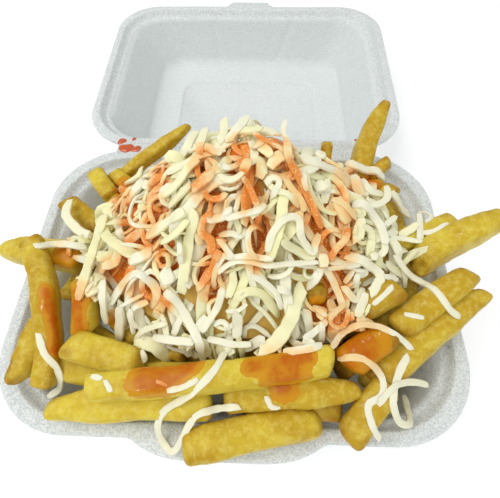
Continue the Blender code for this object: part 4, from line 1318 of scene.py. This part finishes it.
# %% The shreds that show
SEEN_SHREDS = {
    "top_left_a": (9, 0.4, 0.2, (196, 131), (190, 142), (183, 155)),
    "top_left_b": (8, 0.5, 0.2, (206, 128), (201, 140), (199, 154)),
    "top_white": (8, 0.0, 0.0, (263, 141), (252, 147)),
    "top_curl": (7, 0.1, 0.0, (219, 164), (228, 168), (239, 164), (248, 156)),
    "top_drop": (10, 0.7, 0.4, (250, 159), (245, 167), (242, 179)),
    "top_stand_a": (8, 0.5, 0.0, (224, 118), (224, 133), (219, 143)),
    "top_stand_b": (9, 0.1, 0.0, (247, 116), (240, 125), (233, 133), (228, 142)),
    "top_stand_c": (5, 0.2, 0.0, (286, 120), (283, 131), (287, 140)),
    "back_slope": (8, 0.1, 0.6, (286, 138), (290, 160), (300, 180), (309, 200), (317, 216), (322, 228)),
    "bar_right": (10, 0.1, 0.1, (300, 158), (314, 162), (329, 168), (340, 175), (346, 183)),
    "bit_top": (8, 0.1, 0.0, (316, 152), (325, 157)),
    "grey_strand": (6, 0.0, -0.3, (304, 169), (304, 183), (307, 191)),
    "lump": (13, 0.2, 0.0, (315, 189), (320, 186), (326, 184)),
    "pink_end": (7, 0.1, 0.1, (332, 199), (340, 202), (349, 209), (356, 218)),
    "left_long_a": (9, 0.7, -0.2, (198, 159), (188, 168), (176, 185), (162, 196)),
    "left_wide": (11, 0.0, 0.3, (214, 173), (202, 181), (192, 190)),
    "left_long_b": (9, 0.8, -0.2, (190, 185), (180, 195), (169, 206)),
    "bean": (8, 0.5, -0.3, (219, 174), (225, 180), (237, 178), (243, 172)),
    "pink_bend": (7, 0.0, 0.3, (204, 190), (208, 198), (219, 199), (226, 193)),
    "orange_lean_a": (7, 0.2, 0.8, (243, 177), (251, 190), (257, 206)),
    "curl_white": (7, 0.3, -0.4, (266, 185), (272, 177), (280, 181), (276, 190), (271, 197)),
    "mid_yellow": (7, 0.8, -0.3, (285, 179), (292, 189), (302, 202), (304, 212)),
    "left_diagonal": (11, 0.6, -0.1, (184, 211), (171, 220), (157, 230), (146, 237)),
    "left_diagonal_b": (7, 0.9, -0.3, (188, 219), (180, 229), (171, 237), (161, 243)),
    "orange_bend": (9, 0.2, 0.8, (212, 213), (202, 222), (202, 233), (211, 240), (211, 254)),
    "mid_white": (9, 0.0, -0.3, (230, 207), (224, 217), (207, 220)),
    "mid_bar": (8, 0.1, 0.2, (225, 219), (247, 213), (259, 210), (265, 204)),
    "mid_low": (7, 0.1, -0.2, (219, 236), (230, 233), (242, 238)),
    "mid_low_b": (7, 0.1, -0.2, (218, 239), (225, 248), (233, 258)),
    "orange_ring": (6, 0.1, 0.5, (264, 231), (256, 226), (249, 231), (248, 242), (251, 253), (259, 259)),
    "slab_mid": (10, 0.7, -0.4, (282, 242), (297, 250), (308, 257), (316, 256)),
    "right_top_strand": (9, 0.0, -0.4, (346, 163), (357, 166), (367, 171), (377, 171), (384, 179)),
    "right_mass_a": (10, 0.1, -0.4, (354, 175), (357, 187), (362, 196)),
    "right_mass_b": (8, 0.2, -0.4, (362, 179), (367, 188), (377, 194), (383, 193)),
    "right_bow": (7, 0.1, -0.4, (386, 186), (388, 196), (382, 203), (371, 206)),
    "right_outer": (8, 0.2, -0.4, (392, 191), (398, 201), (403, 211), (410, 216)),
    "right_small": (6, 0.1, -0.4, (384, 226), (392, 220), (396, 216)),
    "rim_loop": (4, 0.0, -0.4, (418, 212), (428, 213), (432, 218), (425, 222)),
    "rim_drop": (6, 0.0, -0.4, (419, 213), (420, 229), (420, 241)),
    "rim_reach": (6, 0.0, -0.4, (423, 233), (434, 232), (443, 227), (449, 224)),
    "right_slab": (8, 0.6, -0.4, (399, 236), (410, 230), (418, 224)),
    "right_flat": (5, 0.2, -0.4, (390, 237), (405, 239), (422, 242)),
    "right_wide": (11, 0.7, -0.4, (361, 218), (359, 230), (357, 242)),
    "right_turn": (7, 0.7, -0.4, (364, 226), (371, 232), (371, 244), (369, 254)),
    "peach_bend": (7, 0.1, 0.5, (348, 228), (346, 239), (336, 249), (330, 260)),
    "peach_ring": (6, 0.1, 0.6, (318, 247), (322, 236), (332, 229), (342, 232)),
    "right_down": (8, 0.1, -0.4, (390, 238), (397, 248), (400, 260)),
    "right_down_b": (7, 0.1, -0.4, (384, 240), (385, 251), (378, 256)),
    "right_stub": (9, 0.8, -0.4, (371, 240), (370, 256)),
    "chunk_left": (12, 0.1, 0.0, (129, 262), (141, 256), (152, 251)),
    "left_loop": (8, 0.0, -0.3, (110, 305), (119, 290), (128, 278), (137, 273), (146, 278), (155, 286),
                                 (157, 297), (151, 307)),
    "loop_tail": (7, 0.0, -0.3, (131, 311), (138, 305), (148, 302)),
    "loop_thin": (4, 0.0, -0.3, (117, 309), (130, 301), (144, 294)),
    "hanging_flat": (10, 0.0, -0.3, (120, 308), (120, 321), (119, 340)),
    "hanging_thin": (6, 0.0, -0.3, (130, 309), (131, 321), (138, 328)),
    "hanging_left": (7, 0.1, -0.3, (103, 280), (102, 300), (106, 324)),
    "orange_lean": (9, 0.1, 0.8, (197, 290), (205, 280), (213, 269), (219, 250)),
    "lower_lean": (8, 0.1, -0.1, (201, 331), (210, 319), (218, 305), (223, 288)),
    "stick_white": (6, 0.0, -0.3, (179, 242), (180, 254), (181, 266)),
    "yellow_drop": (11, 0.8, -0.4, (195, 210), (192, 225), (189, 242), (186, 262), (183, 280), (182, 293)),
    "left_flat": (8, 0.0, -0.4, (153, 337), (167, 340), (186, 342), (194, 343)),
    "leaf_stem": (6, 0.3, -0.4, (135, 342), (140, 333), (153, 327), (167, 323)),
    "leaf": (12, 0.8, -0.4, (135, 342), (149, 344), (161, 351), (170, 361)),
    "leaf_bit": (8, 0.3, -0.4, (141, 350), (144, 363)),
    "chunk_mid": (14, 0.0, -0.3, (164, 268), (169, 284)),
    "white_left": (9, 0.0, -0.3, (165, 291), (176, 301), (184, 313), (191, 326), (198, 339), (201, 353)),
    "side_white": (6, 0.0, -0.3, (214, 288), (214, 276), (218, 265), (224, 257)),
    "mid_yellow_b": (9, 0.8, -0.3, (232, 272), (233, 283), (228, 297)),
    "under_bar": (5, 0.1, -0.2, (226, 311), (238, 311), (247, 304)),
    "small_arch": (6, 0.0, -0.2, (214, 326), (220, 321), (227, 324), (229, 332)),
    "pink_flat": (10, 0.0, 0.0, (238, 313), (237, 326), (236, 338)),
    "front_line": (7, 0.0, -0.4, (207, 339), (220, 341), (234, 345), (251, 344)),
    "valley_line": (7, 0.0, -0.3, (252, 276), (265, 283), (276, 294), (282, 309)),
    "valley_bit": (8, 0.0, -0.3, (277, 288), (291, 293)),
    "thin_arch": (5, 0.1, -0.3, (244, 338), (246, 327), (257, 327), (270, 337)),
    "deep_a": (9, 0.1, -0.3, (306, 309), (310, 335)),
    "deep_b": (6, 0.0, -0.3, (313, 306), (327, 316)),
    "deep_c": (7, 0.0, -0.2, (327, 320), (314, 333), (304, 339)),
    "deep_d": (7, 0.0, -0.3, (322, 322), (322, 343)),
    "peach_loop": (5, 0.1, 0.4, (345, 304), (335, 312), (330, 319), (333, 326), (341, 328), (347, 320),
                                 (348, 309)),
    "hook_w": (6, 0.1, -0.4, (344, 283), (353, 271)),
    "hook_x": (6, 0.1, -0.4, (358, 274), (355, 286)),
    "hook_v": (8, 0.2, -0.4, (343, 286), (349, 294), (358, 301), (363, 288)),
    "hook_thin": (5, 0.1, -0.4, (362, 286), (375, 278)),
    "hook": (10, 0.2, -0.4, (345, 256), (360, 260), (374, 268), (381, 277), (376, 287), (370, 294)),
    "hook_tail": (8, 0.2, -0.4, (366, 293), (360, 309), (357, 317)),
    "fry_strand": (5, 0.1, -0.4, (373, 305), (383, 296), (393, 286)),
    "fry_strand_b": (6, 0.0, -0.4, (384, 276), (398, 280)),
    "lump_white": (9, 0.2, -0.4, (371, 257), (378, 256)),
    "front_bar": (8, 0.0, -0.4, (283, 352), (297, 351), (322, 345)),
    "bar_stem": (9, 0.0, -0.2, (321, 269), (315, 280), (307, 287)),
    "thick_yellow": (14, 0.8, -0.4, (303, 285), (295, 305), (289, 322), (280, 337), (271, 346), (259, 351)),
    "yellow_arch": (10, 0.9, -0.4, (236, 300), (243, 293), (254, 291), (265, 296), (271, 305), (279, 316)),
    "middle_bar": (6, 0.05, -0.4, (218, 273), (227, 265), (240, 261), (252, 262), (266, 266), (284, 264),
                                   (306, 263), (318, 262)),
    "bar_lump": (11, 0.6, -0.4, (323, 254), (324, 267)),
    "big_arch": (8, 0.2, -0.4, (267, 252), (272, 234), (282, 221), (293, 216), (300, 222), (300, 234),
                                (307, 247), (313, 253), (315, 244), (319, 234)),
    "right_long": (9, 0.0, -0.4, (352, 205), (362, 203), (369, 209), (377, 221), (383, 232), (385, 244)),
    "right_tail": (6.5, 0.1, -0.4, (395, 255), (410, 275), (435, 290), (450, 310), (460, 317)),
    "yellow_long": (9, 0.9, -0.3, (104, 215), (95, 245), (85, 275), (78, 300)),
    "left_ring": (8, 0.3, -0.3, (70, 200), (66, 215), (78, 230), (92, 236)),
    "left_bar": (7, 0.1, -0.4, (34, 246), (60, 244), (86, 247)),
    "left_hook": (6, 0.1, -0.4, (38, 333), (45, 355), (57, 368), (60, 388), (48, 397)),
    "bit_left": (5, 0.2, -0.4, (91, 376), (96, 377), (102, 379)),
    "bit_left_low": (5, 0.1, -0.4, (105, 380), (108, 386), (111, 392)),
    "bit_pink": (4, 0.1, 0.0, (156, 381), (162, 383), (167, 386)),
    "bit_long": (6, 0.1, -0.6, (167, 391), (180, 388), (190, 384), (198, 379)),
    "bit_front": (5, 0.1, -0.4, (266, 396), (272, 408), (280, 407)),
    "s_curve": (6.5, 0.15, -0.4, (225, 352), (213, 372), (190, 395), (165, 410), (158, 430), (172, 452),
                                  (183, 437), (195, 417), (215, 409), (240, 407)),
    "right_arc": (6, 0.0, -0.3, (332, 348), (342, 334), (355, 326), (371, 325), (387, 330), (400, 338),
                                 (412, 350)),
    "right_front": (6.5, 0.0, -0.4, (338, 358), (360, 358), (374, 367), (382, 379), (382, 395), (368, 405),
                                   (372, 425), (380, 440)),
    "right_loop": (6.5, 0.2, -0.4, (408, 355), (397, 378), (393, 403), (400, 423), (410, 423), (404, 395)),
    "right_cross": (6, 0.2, -0.4, (378, 405), (395, 386), (412, 382), (428, 385)),
    "right_end": (5, 0.1, -0.4, (404, 314), (413, 316), (424, 318)),
}
PIXEL_STEP = 3.5
RAY_REACH = (70.0, 290.0)
RAY_SAMPLES = 700
STEEPEST = 1.6
FLATNESS = 0.34
THICKEST = 1.6


def seen_on_pile(pile, px, py):
    """How far along a pixel's ray the pile lies, in mm, and the ray."""
    ray = np.array(pixel_ray(px, py))
    reach = np.linspace(*RAY_REACH, RAY_SAMPLES)
    spots = np.array(CAMERA_PLACE) / MM + ray * reach[:, None]
    under = spots[:, 2] <= pile.height(spots[:, :2])
    return reach[np.argmax(under)] if under.any() else RAY_REACH[1], ray


def seen_shred(tubes, pile, name):
    """A shred that the photograph shows: its line of sight is true, and it hangs on the pile."""
    pixels_wide, yellow, soak, *pixels = SEEN_SHREDS[name]
    found = [seen_on_pile(pile, px, py) for px, py in smooth_line(pixels, PIXEL_STEP)]
    nearness = hung(np.array([-reach for reach, _ in found]), 0.02)
    for i in range(1, len(nearness)):
        nearness[i] = max(nearness[i], nearness[i - 1] - STEEPEST)
    for i in range(len(nearness) - 2, -1, -1):
        nearness[i] = max(nearness[i], nearness[i + 1] - STEEPEST)
    rays = np.array([ray for _, ray in found])
    width = pixels_wide * -np.median(nearness) / FOCAL_PIXELS
    thickness = min(FLATNESS * width, THICKEST)
    line = np.array(CAMERA_PLACE) / MM - rays * (nearness + 0.4 * thickness)[:, None]
    shred(tubes, line, width, thickness, yellow, soak)
    pile.raise_along(line, width / 2, thickness)


# %% Cheese
def heap_of_cheese():
    tubes = Tubes()
    rings = cheese_core_rings()
    tubes.add(rings, yellow=0.4, soak=0.25, deep=1.0)
    core = tubes.piece("core_probe", CHEESE_FINISH)
    pile = Pile(solid_tree([core, fries_heap, tray_shell]))
    bpy.data.objects.remove(core)
    draw = random.Random(SHRED_SEED)
    laid = sum(drawn_shred(tubes, pile, draw) for _ in range(SHRED_TRIES))
    print("drawn shreds laid", laid)
    for name in SEEN_SHREDS:
        seen_shred(tubes, pile, name)
    print("pile top", round(pile.z.max(), 1), "mm")
    return tubes.piece("cheese_heap", CHEESE_FINISH, SHRED_EDGE)


cheese_heap = heap_of_cheese()
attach(cheese_heap, "base")
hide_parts("cheese")
print("cheese heap", len(cheese_heap.data.polygons), "faces")

# %% [markdown]
# ## Drops of sauce
# A few drops fell on the rims beside the hinge. A drop is a low dome with an uneven edge, so each is
# a turned dome whose radius changes round it. Those on the lid's rim move with the lid.

# %% Sauce finish
DROP_ORANGE = linear(206, 84, 22)


def drop_finish():
    finish = Finish("hot_sauce", Specular_IOR_Level=0.5, Coat_Roughness=0.05)
    # In the drops this noise only makes darker specks in the sauce. No glints are painted here.
    specks_and_painted_glints = finish.noise(1400.0, 3.0, 0.6)
    finish.set(Base_Color=finish.blend(specks_and_painted_glints.between(0.5, 0.8), DROP_ORANGE, SAUCE_DEEP))
    finish.set(Roughness=0.18 + 0.15 * specks_and_painted_glints, Coat_Weight=0.5 + 0.3 * specks_and_painted_glints)
    finish.bump(specks_and_painted_glints, 0.05 * MM, 0.4)
    return finish.material


DROP_FINISH = drop_finish()

# %% Drops
DROP_PIXELS = {"smear_a": (126, 148, 3.4), "smear_b": (136, 149, 2.4), "smear_c": (122, 141, 2.2),
               "drop_a": (134, 139, 1.2), "drop_b": (176, 138, 1.0), "drop_c": (356, 140, 0.9)}
DROP_RINGS = 6
DROP_SIDES = 28
DROP_HEIGHT = 0.3
DROP_SUNK = 0.15
DROP_SEED = 8


def rim_spot(px, py):
    """Where a pixel's ray meets the rims' level, in mm."""
    ray = pixel_ray(px, py)
    reach = (BOX_HEIGHT * MM - CAMERA_PLACE.z) / ray.z
    return np.array(CAMERA_PLACE + ray * reach) / MM


def drop_rings(centre, radius, draw):
    """A low dome with an uneven edge."""
    angles = 2 * math.pi * np.arange(DROP_SIDES) / DROP_SIDES
    wave = 1 + 0.16 * np.sin(2 * angles + draw.uniform(0, 6))
    wave = wave + 0.1 * np.sin(3 * angles + draw.uniform(0, 6))
    height = DROP_HEIGHT + 0.15 * radius
    rings = []
    for rise in np.linspace(0, 1, DROP_RINGS) * math.pi / 2:
        reach = radius * wave * math.cos(0.98 * rise)
        z = np.full(DROP_SIDES, BOX_HEIGHT - DROP_SUNK + height * math.sin(rise))
        x, y = centre[0] + reach * np.cos(angles), centre[1] + reach * np.sin(angles)
        rings.append(np.column_stack([x, y, z]))
    return np.array(rings)[::-1]


def add_drops():
    draw = random.Random(DROP_SEED)
    groups = {"base": Tubes(), "lid": Tubes()}
    for px, py, radius in DROP_PIXELS.values():
        centre = rim_spot(px, py)
        body = "base" if centre[1] < HINGE_Y else "lid"
        groups[body].add(drop_rings(centre, radius, draw))
        print("drop", body, np.round(centre, 1))
    for body, tubes in groups.items():
        if tubes.count:
            drops = tubes.piece("sauce_drops_" + body, DROP_FINISH)
            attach(drops, body)


add_drops()

# %% [markdown]
# ## The floor and the light
# The photograph's ground is plain white, and the light is soft and comes from above on the left. A
# large area light and a pale sky do that: the sky fills the shadows, the area light gives the
# cheese its small highlights.

# %% Floor
FLOOR_SIZE = 3.0
FLOOR_WHITE = (0.93, 0.93, 0.93)
FLOOR_GLOW = 0.22
FLOOR_LEVEL = -0.2


def add_floor():
    finish = Finish("floor_white", Roughness=0.9, Emission_Strength=FLOOR_GLOW,
                    Emission_Color=(1.0, 1.0, 1.0, 1.0))
    finish.set(Base_Color=FLOOR_WHITE)
    half = FLOOR_SIZE / 2
    corners = [(-half, -half, 0), (half, -half, 0), (half, half, 0), (-half, half, 0)]
    floor = new_piece("floor", corners, [(0, 1, 2, 3)], finish.material)
    floor.location.z = FLOOR_LEVEL * MM


add_floor()

# %% Light
SKY = (0.98, 1.0, 0.99)
SKY_STRENGTH = 0.52
# Besides these lamps, the small glints on the sauced cheese are partly painted into its colour.
LAMPS = {
    "softbox": ((-0.42, 0.02, 0.78), 0.6, 2.9),
    "fill": ((0.35, -0.50, 0.60), 0.6, 1.1),
    "spot_left": ((-0.30, -0.35, 0.80), 0.03, 0.5),
    "spot_back": ((0.20, 0.45, 0.85), 0.03, 0.5),
}
LIT_POINT = Vector((0, 0.02, 0.04))


def add_light():
    world = bpy.data.worlds.new("sky")
    world.use_nodes = True
    world.node_tree.nodes["Background"].inputs[0].default_value = (*SKY, 1.0)
    world.node_tree.nodes["Background"].inputs[1].default_value = SKY_STRENGTH
    bpy.context.scene.world = world
    for name, (place, size, power) in LAMPS.items():
        lamp = bpy.data.lights.new(name, "AREA")
        lamp.shape = "DISK"
        lamp.size = size
        lamp.energy = power
        holder = bpy.data.objects.new(name, lamp)
        holder.location = place
        holder.rotation_euler = (LIT_POINT - Vector(place)).to_track_quat("-Z", "Y").to_euler()
        bpy.context.scene.collection.objects.link(holder)
    bpy.context.scene.view_settings.view_transform = "Standard"


add_light()
print("lamps", list(LAMPS))
